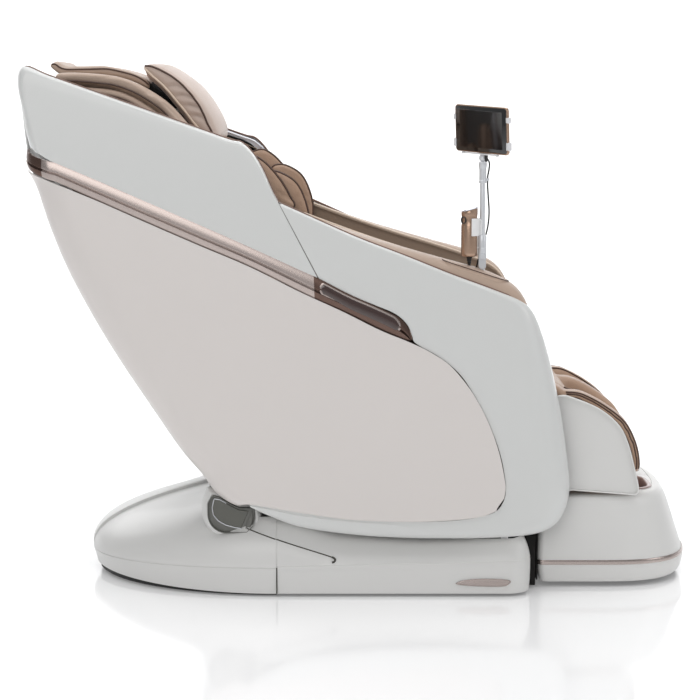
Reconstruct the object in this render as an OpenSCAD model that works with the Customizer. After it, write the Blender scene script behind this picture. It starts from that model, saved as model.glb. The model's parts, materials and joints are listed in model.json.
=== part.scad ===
// Massage chair: a tilting seat pod on a floor base, with a leg rest, a massage
// carriage in the back, a pillow, and a tablet and a handset on one armrest.
// X is the way the chair faces, Y the sitter's left, Z up, in millimetres.
// The origin is on the floor at the middle of the length and width.

/* [Pod] */
// Half width over the pod's side shells
pod_half_w = 420; // [410:2:430]
// Wall of the moulded side shells
shell_t = 3.5; // [2.5:0.5:4]
// How much the pod narrows towards its two ends
pod_taper = 14; // [0:1:20]
// How far the back cover bulges behind the side shells
back_bulge = 18; // [10:1:30]

/* [Seat] */
// Half width of the seat and back cushions
cushion_half_w = 262; // [240:2:266]
// Lean of the backrest from upright, in degrees
back_lean = 21; // [18:1:22]
// Thickness of the back cushion
back_cushion_t = 46; // [40:1:50]

/* [Base] */
// Half width of the base covers
base_half_w = 397; // [385:1:400]
// Height of the rubber feet
foot_h = 4; // [3:1:5]

/* [Leg rest] */
// Half width over the calf shells
calf_half_w = 288; // [280:1:290]
// Radius of the knee roll round the leg rest pivot
knee_r = 78; // [70:1:79]

/* [Tablet arm] */
// Tablet width
tablet_w = 190; // [170:5:210]
// Tablet height
tablet_h = 113; // [100:1:120]

/* [Motion] */
// Running clearance on a radius between a shaft and its bore
run_gap = 0.05; // [0.02:0.01:0.1]

/* [Hidden] */

white = [0.93, 0.93, 0.92];
ivory = [0.88, 0.85, 0.82];
bronze = [0.62, 0.47, 0.40];
leather = [0.74, 0.62, 0.53];
dark = [0.18, 0.17, 0.16];
steel = [0.62, 0.63, 0.65];
silver = [0.80, 0.81, 0.82];

// Joint positions, as [x, z] on the chair's mid plane
tilt_pivot = [-340, 225];
knee_pivot = [460, 440];
back_foot = [-130, 470];

// ---------- curves, skins and lofts ----------

function mix(a, b, t) = a + (b - a) * t;
function unit(v) = v / max(norm(v), 0.0001);

// Point at t, 0 to 1, on a smooth curve through the rows of p
function bend(a, b, c, d, t) = (2 * b + (c - a) * t + (2 * a - 5 * b + 4 * c - d) * t * t
    + (3 * b - a - 3 * c + d) * t * t * t) / 2;
function along(p, t) = let (n = len(p) - 1, s = min(max(t, 0), 1) * n, i = min(floor(s), n - 1))
    bend(p[max(i - 1, 0)], p[i], p[i + 1], p[min(i + 2, n)], s - i);
function smooth(p, n) = [for (i = [0 : n]) along(p, i / n)];
function arc(c, r, a0, a1, n) = [for (i = [0 : n]) let (a = mix(a0, a1, i / n))
    c + r * [cos(a), sin(a)]];

// Solid from points and faces, whichever way round the faces are listed
module closed(p, f) {
    v = [for (q = f) for (k = [1 : len(q) - 2]) cross(p[q[0]], p[q[k]]) * p[q[k + 1]]];
    inward = v * [for (x = v) 1] < 0;
    polyhedron(p, inward ? f : [for (q = f) [for (i = [len(q) - 1 : -1 : 0]) q[i]]], convexity = 8);
}

// Wall of thickness t behind a grid of surface points; side is 1 or -1 for the way it grows
module skin(g, t, side = 1, wrap = false) {
    m = len(g);
    n = len(g[0]);
    last = wrap ? m - 1 : m - 2;
    function at(i) = wrap ? (i + m) % m : min(max(i, 0), m - 1);
    normals = [for (i = [0 : m - 1]) [for (j = [0 : n - 1])
        unit(cross(g[at(i + 1)][j] - g[at(i - 1)][j], g[i][min(j + 1, n - 1)] - g[i][max(j - 1, 0)]))]];
    outer = [for (row = g) for (q = row) q];
    inner = [for (i = [0 : m - 1]) for (j = [0 : n - 1]) g[i][j] - normals[i][j] * t * side];
    function o(i, j) = at(i) * n + j;
    function b(i, j) = m * n + at(i) * n + j;
    faces = concat(
        [for (i = [0 : last]) for (j = [0 : n - 2]) [o(i, j), o(i, j + 1), o(i + 1, j + 1), o(i + 1, j)]],
        [for (i = [0 : last]) for (j = [0 : n - 2]) [b(i, j), b(i + 1, j), b(i + 1, j + 1), b(i, j + 1)]],
        [for (i = [0 : last]) [o(i, 0), o(i + 1, 0), b(i + 1, 0), b(i, 0)]],
        [for (i = [0 : last]) [o(i + 1, n - 1), o(i, n - 1), b(i, n - 1), b(i + 1, n - 1)]],
        wrap ? [] : [for (j = [0 : n - 2]) [o(0, j + 1), o(0, j), b(0, j), b(0, j + 1)]],
        wrap ? [] : [for (j = [0 : n - 2]) [o(m - 1, j), o(m - 1, j + 1), b(m - 1, j + 1), b(m - 1, j)]]);
    closed(concat(outer, inner), faces);
}

// Solid through a list of rings of points, closed at both ends
module loft(rings) {
    m = len(rings);
    n = len(rings[0]);
    faces = concat(
        [for (i = [0 : m - 2]) for (j = [0 : n - 1])
            [i * n + j, i * n + (j + 1) % n, (i + 1) * n + (j + 1) % n, (i + 1) * n + j]],
        [[for (j = [n - 1 : -1 : 0]) j]],
        [[for (j = [0 : n - 1]) (m - 1) * n + j]]);
    closed([for (r = rings) for (q = r) q], faces);
}

// Round tube of radius r along a route of points
module tube(route, r, sides = 8) {
    n = len(route);
    function ahead(i) = unit(route[min(i + 1, n - 1)] - route[max(i - 1, 0)]);
    loft([for (i = [0 : n - 1]) let (u = unit(cross(ahead(i), [0.13, 1, 0.07])), w = cross(ahead(i), u))
        [for (k = [0 : sides - 1]) route[i] + r * (u * cos(k * 360 / sides) + w * sin(k * 360 / sides))]]);
}

// Outline in X and Z, extruded from y0 to y1
module slab(outline, y0, y1) {
    translate([0, y1, 0]) rotate([90, 0, 0]) linear_extrude(y1 - y0) polygon(outline);
}

module rod_y(x, z, r, y0, y1) {
    translate([x, y1, z]) rotate([90, 0, 0]) cylinder(r = r, h = y1 - y0, $fn = 48);
}

module box(lo, hi) {
    translate(lo) cube(hi - lo);
}

module both_sides() {
    children();
    mirror([0, 1, 0]) children();
}

// Frame of the backrest: Z runs up the back, X points out of its front
module on_back() {
    translate([back_foot[0], 0, back_foot[1]]) rotate([0, -back_lean, 0]) children();
}

// Frame of the console: X runs down the slope of the armrest
console_at = [280, -352, 797];
console_slope = 18;
module on_console() {
    translate(console_at) rotate([0, console_slope, 0]) children();
}

// ---------- side shells ----------

// The side of the pod is a gently barrelled sheet, [x] gives its half width
function side_y(x) = pod_half_w - pod_taper * pow((x + 120) / 700, 2);
// How far a rounded edge of radius r has fallen back at distance d from it
function edge_drop(d, r) = d >= r ? 0 : r - sqrt(max(r * r - (r - d) * (r - d), 0));

// Rows are [inner edge x, z, outer edge x, z, edge radius, y where the return flange ends]
across = [1, 0.75, 0.5, 0.3, 0.16, 0.07, 0.02, 0];
function side_grid(rows, n) = [for (i = [0 : n]) let (q = along(rows, i / n), a = [q[0], q[1]],
    b = [q[2], q[3]], w = norm(b - a)) concat(
    [for (f = across) let (p = b + (a - b) * f) [p[0], side_y(p[0]) - edge_drop(w * f, q[4]), p[1]]],
    [[b[0], q[5], b[1]]])];

wing_rows = [[-783, 1088, -796, 1092, 69, 336], [-762, 1078, -807, 1140, 69, 336],
    [-735, 1064, -815, 1195, 68, 336], [-710, 1053, -821, 1245, 52, 338],
    [-680, 1040, -803, 1282, 30, 345], [-620, 1016, -735, 1261, 12, 352],
    [-500, 964, -560, 1200, 10, 352], [-400, 920, -430, 1154, 10, 352],
    [-320, 885, -312, 1112, 10, 352], [-280, 868, -280, 1104, 10, 352],
    [-245, 852, -252, 1077, 10, 352], [-205, 833, -228, 1038, 10, 360],
    [-150, 808, -206, 990, 10, 370], [-99, 786, -191, 963, 10, 380]];

arm_rows = [[-86, 785, -186, 961, 9, 400], [-20, 745, -100, 922, 9, 400], [40, 720, 0, 878, 9, 400],
    [88, 700, 110, 836, 9, 400], [118, 674, 220, 792, 10, 400], [131, 645, 320, 755, 14, 400],
    [136, 631, 388, 727, 22, 390], [155, 617, 420, 699, 38, 345], [195, 594, 444, 648, 58, 312],
    [245, 553, 465, 582, 72, 306], [283, 497, 484, 504, 80, 306], [318, 430, 500, 420, 80, 306],
    [344, 360, 511, 345, 80, 306], [356, 305, 517, 295, 80, 306], [359, 272, 519, 258, 78, 306],
    [356, 245, 511, 218, 70, 312], [342, 220, 488, 178, 60, 330], [317, 206, 446, 155, 54, 352],
    [268, 196, 390, 147, 50, 360], [196, 190, 290, 143, 45, 362], [100, 189, 120, 144, 42, 362],
    [-20, 194, -20, 154, 38, 362], [-140, 211, -140, 173, 34, 362], [-215, 224, -214, 202, 20, 370],
    [-262, 232, -261, 227, 4, 378]];

panel_rows = [[-779, 1031, -794, 1039, 69, 336], [-735, 1012, -772, 998, 70, 336],
    [-620, 965, -742, 905, 71, 336], [-500, 912, -700, 800, 73, 336], [-380, 860, -640, 684, 75, 336],
    [-260, 809, -575, 575, 77, 336], [-140, 749, -500, 461, 79, 336], [-40, 703, -430, 358, 80, 336],
    [50, 658, -380, 300, 78, 336], [120, 629, -345, 256, 62, 340], [172, 604, -300, 231, 36, 352],
    [220, 571, -258, 235, 9, 405], [262, 522, -140, 216, 5, 410], [292, 474, -20, 199, 5, 412],
    [318, 420, 90, 194, 5, 412], [338, 362, 170, 194, 5, 412], [350, 310, 240, 198, 5, 412],
    [355, 275, 300, 206, 5, 412], [352, 248, 332, 219, 5, 412]];

module side_shell(rows, n) {
    skin(side_grid(rows, n), shell_t, -1);
}

// Metal strip between the wing and the side panel: [x of upper edge, z, x of lower edge, z]
trim_rows = [[-722, 1056, -722, 1014], [-620, 1013, -620, 968], [-500, 961, -500, 915],
    [-380, 909, -380, 863], [-260, 856, -260, 812], [-140, 801, -140, 752], [-94, 780, -92, 729],
    [-20, 742, -20, 697], [60, 706, 52, 662], [100, 685, 95, 643], [120, 662, 112, 635],
    [129, 637, 123, 632]];
// Section: share of the height from the lower edge, and how proud it stands
trim_section = [[0, -3], [0.05, 0], [0.33, 2.6], [0.38, 0], [0.44, 0], [0.48, 2.2], [0.95, 1], [1, -3],
    [1, -6], [0, -6]];
corner_r = 70;
function trim_ring(up, low, n) = [for (s = trim_section) let (p = mix(low, up, s[0])) p + n * s[1]];
function trim_corner(a) = let (c = [-726, side_y(-726) - corner_r],
    e = c + corner_r * [-sin(a), cos(a)], rise = a / 90) trim_ring(
    [e[0], e[1], mix(1056, 1087, rise)], [e[0], e[1], mix(1014, 1052, rise)], [-sin(a), cos(a), 0]);

module trims() {
    color(bronze) both_sides() loft(concat(
        [[for (q = trim_corner(90)) q - [0, 3, 0]]],
        [for (a = [90 : -15 : 15]) trim_corner(a)],
        [for (i = [0 : 26]) let (q = along(trim_rows, i / 26)) trim_ring([q[0], side_y(q[0]), q[1]],
            [q[2], side_y(q[2]), q[3]], [0, 1, 0])]));
}

// Plain oval plate on the wide end of the trim
emblem_rows = [[-90, 763, 752], [-74, 765, 738], [-20, 737, 707], [40, 711, 680], [80, 692, 661],
    [98, 676, 658]];
module emblem_plates() {
    color([0.25, 0.19, 0.17]) both_sides() loft([for (i = [0 : 12]) let (q = along(emblem_rows, i / 12),
        y = side_y(q[0]) + 3) [[q[0], y, q[2]], [q[0], y + 2, q[2] + 2], [q[0], y + 2, q[1] - 2],
        [q[0], y, q[1]]]]);
}

// ---------- base ----------

dome_c = -200;
dome_a = 487;
plinth_top = foot_h + 8;
function rear_plan(inset, n) = [for (i = [0 : n]) let (a = 90 + 180 * i / n)
    [dome_c + (dome_a - inset) * cos(a), (base_half_w - inset) * sin(a)]];
front_x = 420;
corner_plan = 60;
function front_plan(inset, n) = concat(
    arc([front_x - corner_plan, -(base_half_w - corner_plan)], corner_plan - inset, -90, 0, n),
    arc([front_x - corner_plan, base_half_w - corner_plan], corner_plan - inset, 0, 90, n));

module base_plate() {
    color(dark) difference() {
        translate([0, 0, foot_h]) linear_extrude(plinth_top - foot_h)
            polygon(concat(rear_plan(26, 40), front_plan(26, 8)));
        for (s = [-1, 1]) box([wheel_at[0] - 36, s * wheel_at[1] - 20, 0],
            [wheel_at[0] + 36, s * wheel_at[1] + 20, 20]);
    }
}

module base_feet() {
    color(dark) for (x = [-520, -120, 330], s = [-1, 1])
        translate([x, s * (x < -400 ? 170 : 320), 0]) cylinder(d = 56, h = foot_h, $fn = 48);
}

// Rear cover: an oval dome, cut away at the rear for the mains panel and open under the pod
notch_half = 9;
dome_turns = concat([for (a = [90 : 8.1 : 171]) a], [171.2, 176, 184, 188.8],
    [for (a = [189 : 8.1 : 270.1]) a]);
function dome_point(a, v) = let (s2 = sin(a) * sin(a), inner = min(0.88, 0.37 / max(abs(cos(a)), 0.01)),
    crease = mix(57, 75, s2), low = abs(a - 180) < notch_half ? 62 : 8,
    flat = v < 0, k = flat ? 1 + v * 0.02 : 1 - (1 - inner) * pow(v, 2.2),
    z = flat ? max(low, crease + v * (crease - 8)) : max(crease, low + 4)
        + mix(160, 240, pow(s2, 4)) * pow((1 - k) / 0.63, 0.45))
    [dome_c + dome_a * k * cos(a), base_half_w * k * sin(a), z];
dome_steps = [-1, -0.5, 0, 0.14, 0.28, 0.42, 0.58, 0.78, 1];

module base_rear_cover() {
    color(white) difference() {
        rear_cover_skin();
        both_sides() slab(pocket_outline(1.5), 300, 420);
    }
}

module rear_cover_skin() {
    skin([for (a = dome_turns) [for (v = dome_steps) let (p = dome_point(a, v))
        v < 0 && abs(a - 180) < notch_half ? [p[0], p[1], 62 + 2 * (1 + v)] : p]], shell_t, -1);
}

// Front skirt: plan points with their outward direction, then a section up the wall
skirt_x = [-198, -140, -60, 60, 200, 300];
function skirt_side(s) = [for (x = skirt_x) [x, s * base_half_w, 0, s]];
function skirt_corner(s) = [for (a = [90 : -22.5 : 0]) [front_x - corner_plan + corner_plan * cos(a),
    s * (base_half_w - corner_plan + corner_plan * sin(a)), cos(a), s * sin(a)]];
skirt_plan = concat(skirt_side(1), skirt_corner(1), [[front_x, 180, 1, 0], [front_x, -180, 1, 0]],
    [for (i = [4 : -1 : 0]) skirt_corner(-1)[i]], [for (i = [5 : -1 : 0]) skirt_side(-1)[i]]);
// Top of the wall falls from the pivot pockets to the front
function skirt_top(x) = 130 + 50 * pow(min(max((0 - x) / 200, 0), 1), 1.3);
function skirt_crease(x) = mix(75, 89, min(max((x + 200) / 620, 0), 1));

module base_front_skirt() {
    color(white) skin([for (q = skirt_plan) let (c = skirt_crease(q[0]), t = skirt_top(q[0]))
        [for (s = [[4, 8], [1, 34], [0, c], [12, mix(c, t, 0.38)], [30, mix(c, t, 0.75)], [50, t]])
            [q[0] - q[2] * s[0], q[1] - q[3] * s[0], s[1]]]], shell_t, -1);
}

module base_accents() {
    color(bronze) both_sides() translate([0, base_half_w + 2.6, 0]) rotate([90, 0, 0])
        linear_extrude(2.2) polygon(concat(arc([247, 38], 9, 100, 260, 8), arc([359, 34], 9, -80, 80, 8)));
}

// Dark covers over the ends of the tilt pivot, low enough to clear the pod
function pocket_outline(grow) = concat([[-256 + grow, 214 + grow], [-254 + grow, 190], [-258 + grow, 172 - grow],
    [-272, 157 - grow]], arc([-322, 199], 44 + grow, 275, 180, 6),
    [[-366 - grow, 226], [-354 - grow, 245 + grow], [-338, 240 + grow], [-315, 226 + grow], [-290, 214 + grow]]);
module pivot_pocket_covers() {
    color([0.3, 0.3, 0.27]) both_sides() slab(pocket_outline(0), 338.5, 343.5);
}

rail_y = 262;
module slide_rails() {
    color(steel) for (s = [-1, 1]) {
        box([-430, s * rail_y - 12, plinth_top], [140, s * rail_y + 12, plinth_top + 22]);
        box([-430, s * rail_y - 17, plinth_top + 22], [140, s * rail_y + 17, plinth_top + 28]);
    }
}

screw_z = 75;
module slide_motor() {
    color([0.3, 0.32, 0.34]) difference() {
        union() {
            translate([-340, 0, screw_z]) rotate([0, 90, 0]) cylinder(r = 38, h = 110, $fn = 64);
            box([-230, -45, 14], [-180, 45, 120]);
            box([-330, -50, plinth_top], [-180, 50, 22]);
        }
        translate([-232, 0, screw_z]) rotate([0, 90, 0]) cylinder(r = 8, h = 60, $fn = 48);
    }
}

module lead_screw() {
    color(silver) translate([-225, 0, screw_z]) rotate([0, 90, 0]) cylinder(r = 8, h = 330, $fn = 48);
}

module power_box() {
    color([0.22, 0.22, 0.23]) difference() {
        box([-652, -56, plinth_top], [-500, 56, 60]);
        box([-660, -38, 17], [-628, 2, 47]);
        box([-660, 17, 19], [-632, 43, 43]);
    }
    color(steel) rod_y(rocker_at[0], rocker_at[2], 2, 16, 44);
}

module power_inlet() {
    color(dark) difference() {
        box([-654, -37.5, 17.5], [-630, 1.5, 46.5]);
        box([-660, -31, 22], [-634, -5, 42]);
    }
    color(silver) for (y = [-25, -18, -11]) box([-648, y - 1, 29], [-633, y + 1, 35]);
}

// Rocker switch that tips about Y in its slot
rocker_at = [-645, 30, 31];
module power_rocker() {
    color([0.1, 0.1, 0.1]) difference() {
        slab([[-656, 22.5], [-653, 31], [-653, 39.5], [-640, 37], [-640, 25]], 18, 42);
        rod_y(rocker_at[0], rocker_at[2], 2 + run_gap, 10, 50);
    }
}

wheel_at = [-470, 190, 33];
wheel_r = 30;
module wheel_mounts() {
    color(steel) both_sides() {
        for (y = [-20, 16]) difference() {
            slab([[-510, plinth_top], [-430, plinth_top], [-455, 46], [-485, 46]],
                wheel_at[1] + y + (y < 0 ? -4 : 4.5), wheel_at[1] + y + (y < 0 ? 0 : 8.5));
            rod_y(wheel_at[0], wheel_at[2], 5, 150, 240);
        }
        rod_y(wheel_at[0], wheel_at[2], 5, wheel_at[1] - 26, wheel_at[1] + 26);
    }
}

module transport_wheel(s) {
    color([0.2, 0.2, 0.2]) difference() {
        rod_y(wheel_at[0], wheel_at[2], wheel_r, s * wheel_at[1] - 14, s * wheel_at[1] + 14);
        rod_y(wheel_at[0], wheel_at[2], 5 + run_gap, s * wheel_at[1] - 20, s * wheel_at[1] + 20);
        for (e = [-1, 1]) translate([wheel_at[0], s * wheel_at[1] + e * 14, wheel_at[2]]) rotate([90, 0, 0])
            difference() {
                cylinder(r = 22, h = 8, center = true, $fn = 48);
                cylinder(r = 11, h = 20, center = true, $fn = 48);
            }
    }
}

// ---------- carriage that slides the pod forward as it tilts ----------

plate_y = [257, 265];
module carriage_frame() {
    color(steel) difference() {
        union() {
            both_sides() slab(concat([[-372, 58], [-40, 58], [-40, 100], [-250, 105], [-300, 150]],
                arc(tilt_pivot, 27, -20, 180, 12), [[-372, 190]]), plate_y[0], plate_y[1]);
            for (x = [-360, -60]) for (s = [-1, 1]) difference() {
                box([x - 5, s * rail_y - 24, 28], [x + 45, s * rail_y + 24, 58]);
                box([x - 6, s * rail_y - 12.6, 20], [x + 46, s * rail_y + 12.6, 50]);
                box([x - 6, s * rail_y - 17.6, 33.4], [x + 46, s * rail_y + 17.6, 41]);
            }
            rod_y(-70, screw_z, 15, -plate_y[1], plate_y[1]);
            box([-95, -26, 50], [-45, 26, 100]);
        }
        rod_y(tilt_pivot[0], tilt_pivot[1], 10 + run_gap, -300, 300);
        translate([-150, 0, screw_z]) rotate([0, 90, 0]) cylinder(r = 8 + run_gap, h = 200, $fn = 48);
    }
}

module pivot_shaft() {
    color(silver) rod_y(tilt_pivot[0], tilt_pivot[1], 10, -275, 275);
}

// ---------- pod structure ----------

beam_y = [216, 252];
module seat_frame() {
    color(steel) difference() {
        union() {
            both_sides() slab(concat([[-340, 262], [405, 262], [405, 224], [-300, 224]],
                arc(tilt_pivot, 24, -10, -180, 10), [[-364, 250]]), beam_y[0], beam_y[1]);
            for (x = [-215, 120]) box([x - 15, -beam_y[0], 226], [x + 15, beam_y[0], 256]);
            box([355, -276.5, 226], [385, 276.5, 256]);
            both_sides() slab(concat([[355, 226], [385, 226], [400, 256], [430, 390]],
                arc(knee_pivot, 16, -45, 135, 8), [[385, 330], [355, 256]]), 271.5, 276.5);
        }
        rod_y(tilt_pivot[0], tilt_pivot[1], 10, -300, 300);
        rod_y(knee_pivot[0], knee_pivot[1], 9, -300, 300);
    }
}

module back_frame() {
    color(steel) on_back() {
        both_sides() {
            box([-164, 205, -160], [-130, 235, 780]);
            box([-152, 168, 30], [-124, 176, 700]);
            for (z = [50, 350, 660]) box([-152, 176, z], [-142, 205, z + 20]);
        }
        for (z = [-130, 730]) box([-162, -205, z], [-132, 205, z + 30]);
    }
}

module under_pan() {
    color([0.35, 0.35, 0.35]) box([-278, -333, 212], [396, 333, 216]);
}

// Rear silhouette of the pod, low to high
back_line = [[-384, 306], [-457, 403], [-579, 581], [-676, 751], [-749, 933], [-795, 1060], [-811, 1164],
    [-822, 1240]];
module back_cover() {
    color(white) skin([for (i = [0 : 16]) let (q = along(back_line, i / 16))
        [for (y = [-333, -300, -240, -160, -70, 0, 70, 160, 240, 300, 333])
            [q[0] - back_bulge * (1 - pow(y / 333, 2)) * min(1, 0.4 + i / 10), y, q[1]]]], shell_t, -1);
}

// ---------- armrests ----------

// Rows are [x, z of the shell's edge there, height of the crown over it, half width]
deck_rows = [[-138, 937, 0, 46], [-60, 903, 6, 46], [30, 867, 12, 46], [120, 832, 20, 46],
    [200, 800, 29, 46], [290, 768, 36, 46], [345, 745, 37, 46], [380, 729, 31, 44], [403, 712, 18, 40],
    [414, 694, 2, 34]];
deck_mid = 352;
deck_section = [[-1, -1], [-1, 0.45], [-0.8, 0.85], [-0.35, 1.05], [0.2, 1.05], [0.65, 0.85],
    [0.9, 0.5], [1, 0.05], [1, -1]];
module deck_body() {
    loft([for (i = [0 : 18]) let (q = along(deck_rows, i / 18)) [for (s = deck_section)
        [q[0], deck_mid + s[0] * q[3], q[1] + (s[1] < 0 ? -46 : q[2] * s[1] - 4)]]]);
}

module arm_deck_left() {
    color(bronze) deck_body();
}

module arm_deck_right() {
    color(bronze) difference() {
        mirror([0, 1, 0]) deck_body();
        on_console() {
            console_oval(39, -13, 80);
        }
        rod_down(handset_x, post_y, 9);
        rod_down(handset_x + 17, post_y + 6, 4);
    }
}

// Long rounded slot shape on the armrest
module console_oval(r, z0, z1) {
    for (e = [-1, 1]) translate([e * 48, 0, z0]) cylinder(r = r, h = z1 - z0, $fn = 64);
    box([-48, -r, z0], [48, r, z1]);
}

module console_tray() {
    color(dark) difference() {
        on_console() difference() {
            console_oval(38.6, -12.6, 3);
            console_oval(35, -9, 20);
        }
        rod_down(handset_x, post_y, 3.2);
        rod_down(handset_x + 17, post_y + 6, 3.2);
    }
    color(steel) difference() {
        translate([handset_x, post_y, 640]) cylinder(r = 6.5, h = 120, $fn = 40);
        rod_down(handset_x, post_y, 4.2);
    }
}

module rod_down(x, y, r) {
    translate([x, y, 600]) cylinder(r = r, h = 300, $fn = 40);
}

// Upright padded walls between the seat and the armrests
module arm_walls() {
    color([0.42, 0.34, 0.28]) both_sides() slab([[-215, 300], [395, 300], [452, 330], [470, 420],
        [462, 520], [440, 600], [410, 690], [403, 714], [380, 746], [345, 768], [290, 789], [200, 818],
        [120, 842], [30, 871], [-60, 903], [-132, 930], [-170, 800], [-215, 600]], 296, 304);
}

// ---------- upholstery ----------

seat_top = [[-128, 436], [-40, 430], [80, 438], [220, 462], [320, 488], [365, 500], [388, 499]];
module seat_cushion() {
    color(leather) slab(concat(smooth(seat_top, 18), arc(knee_pivot, knee_r + 5, 139, 200, 8),
        [[372, 372], [360, 330], [-100, 322], [-126, 350]]), -cushion_half_w, cushion_half_w);
}

back_front = [[-124, 446], [-250, 778], [-360, 1040], [-448, 1165], [-512, 1219], [-586, 1252], [-684, 1262],
    [-746, 1262]];
function offset_line(p, d) = [for (i = [0 : len(p) - 1]) let (a = p[max(i - 1, 0)],
    b = p[min(i + 1, len(p) - 1)], u = unit(b - a)) p[i] + d * [-u[1], u[0]]];
back_curve = smooth(back_front, 30);
module back_cushion() {
    inner = offset_line(back_curve, back_cushion_t);
    color(leather) slab(concat(back_curve, [for (i = [len(inner) - 1 : -1 : 0]) inner[i]]),
        -cushion_half_w + 6, cushion_half_w - 6);
}

// Loose leather cover folded over the top of the back
flap_low = [[-520, 1228], [-586, 1254.5], [-684, 1264.5], [-766, 1264.5]];
flap_high = [[-775, 1278], [-766, 1292], [-740, 1284], [-675, 1281], [-620, 1284], [-549, 1262], [-520, 1243]];
module head_flap() {
    color(leather) slab(concat(smooth(flap_low, 10), smooth(flap_high, 14)), -170, 170);
}

module wing_liners() {
    color([0.36, 0.29, 0.24]) both_sides() slab([[-775, 1235], [-560, 1180], [-320, 1094], [-275, 1076],
        [-215, 965], [-190, 930], [-160, 830], [-215, 780], [-470, 780], [-640, 900], [-745, 1090]], 334, 342);
}

// Shoulder air cushions beside the head and upper arms
shoulder_outline = [[-330, 1060], [-262, 1102], [-222, 1085], [-180, 1035], [-156, 985], [-150, 945],
    [-240, 900], [-300, 930]];
upper_arm_outline = [[-258, 880], [-226, 1015], [-190, 1034], [-158, 1018], [-128, 975], [-114, 920],
    [-128, 870], [-200, 830]];
module shoulder_pads() {
    color(leather) both_sides() {
        slab(smooth(concat(shoulder_outline, [shoulder_outline[0]]), 32), 300, 332);
        slab(smooth(concat(upper_arm_outline, [upper_arm_outline[0]]), 32), 268, 295);
    }
}

// Speaker pods on the front corners of the wings
module speakers() {
    rim = [[-362, 1128], [-290, 1118], [-256, 1094], [-244, 1060], [-262, 1030], [-350, 1060]];
    color(silver) both_sides() difference() {
        slab(smooth(concat(rim, [rim[0]]), 30), 344, 351);
        rod_y(-300, 1082, 24, 300, 360);
    }
    color(dark) both_sides() rod_y(-300, 1082, 23.8, 345, 350);
}

module air_pump() {
    color([0.2, 0.2, 0.22]) {
        box([-30, -120, 218], [100, 120, 300]);
        box([140, -150, 218], [330, 150, 270]);
        for (y = [-90, -45, 0, 45, 90])
            translate([100, y, 285]) rotate([0, 90, 0]) cylinder(r = 5, h = 14, $fn = 24);
    }
}

pillow_outline = [[-536, 1297], [-505, 1296], [-455, 1268], [-390, 1212], [-345, 1150], [-326, 1106],
    [-352, 1090], [-396, 1128], [-432, 1182], [-486, 1232], [-522, 1250]];
module pillow() {
    color(leather) {
        slab(smooth(concat(pillow_outline, [pillow_outline[0]]), 44), -190, 190);
        rod_y(-535, 1288, 4, -150, 150);
    }
}

// ---------- massage mechanism ----------

module on_track() {
    on_back() translate([-12, 0, 0]) children();
}

module massage_carriage() {
    color([0.3, 0.3, 0.32]) on_track() {
        difference() {
            union() {
                box([-150, -140, 70], [-142, 140, 210]);
                both_sides() box([-150, 132, 70], [-84, 140, 210]);
            }
            translate([-100, 150, 140]) rotate([90, 0, 0]) cylinder(r = 8, h = 300, $fn = 48);
        }
        both_sides() for (z = [90, 190]) translate([-126, 165, z]) rotate([90, 0, 0])
            cylinder(r = 12, h = 25, $fn = 48);
        translate([-100, 140, 140]) rotate([90, 0, 0]) cylinder(r = 8, h = 280, $fn = 48);
    }
}

module massage_motors() {
    color([0.15, 0.15, 0.16]) on_track() {
        for (s = [-1, 1]) translate([-122, s * 107, 172]) rotate([90, 0, 0])
            cylinder(r = 18, h = 46, center = true, $fn = 48);
        box([-141, -110, 160], [-136, 110, 186]);
    }
}

// Arm with two rollers, turning on the carriage's shaft
module knead_arm(s) {
    on_track() translate([0, s * 60, 0]) {
        color(silver) difference() {
            union() {
                translate([-100, 12, 140]) rotate([90, 0, 0]) cylinder(r = 18, h = 24, $fn = 48);
                translate([0, 12, 0]) rotate([90, 0, 0]) linear_extrude(24)
                    polygon([[-112, 127], [-112, 153], [-92, 205], [-78, 205], [-78, 75], [-92, 75]]);
            }
            translate([-100, 20, 140]) rotate([90, 0, 0]) cylinder(r = 8 + run_gap, h = 40, $fn = 48);
        }
        color([0.35, 0.3, 0.28]) for (z = [88, 192]) translate([-78, 22, z]) rotate([90, 0, 0])
            cylinder(r = 19, h = 44, $fn = 64);
    }
}

// ---------- leg rest ----------

calf_line = [[496, 482], [521, 480], [594, 450], [644, 409], [668, 364], [685, 303], [697, 246], [688, 231],
    [660, 233], [533, 243], [510, 250], [492, 330], [480, 420]];
module calf_shells() {
    color(white) both_sides() slab(concat(smooth([for (i = [0 : 7]) calf_line[i]], 22),
        [for (i = [8 : 12]) calf_line[i]]), calf_half_w - 10, calf_half_w);
    color(white) slab([[504, 252], [497, 252], [470, 352], [478, 352]], -calf_half_w + 10.5, calf_half_w - 10.5);
}

foot_rod = [513, 135];
module calf_frame() {
    color(steel) {
        rod_y(knee_pivot[0], knee_pivot[1], 9 - run_gap, -277, 277);
        both_sides() slab(concat(arc(knee_pivot, 16, 0, 180, 8),
            [[450, 420], [481, 358], [496, 300], [507, 262], [520, 262], [520, 310]]), 150, 158);
        box([507, -195, 262], [519, 195, 300]);
        both_sides() translate([foot_rod[0], foot_rod[1], 60]) cylinder(r = 6 - run_gap, h = 210, $fn = 40);
    }
}

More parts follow.
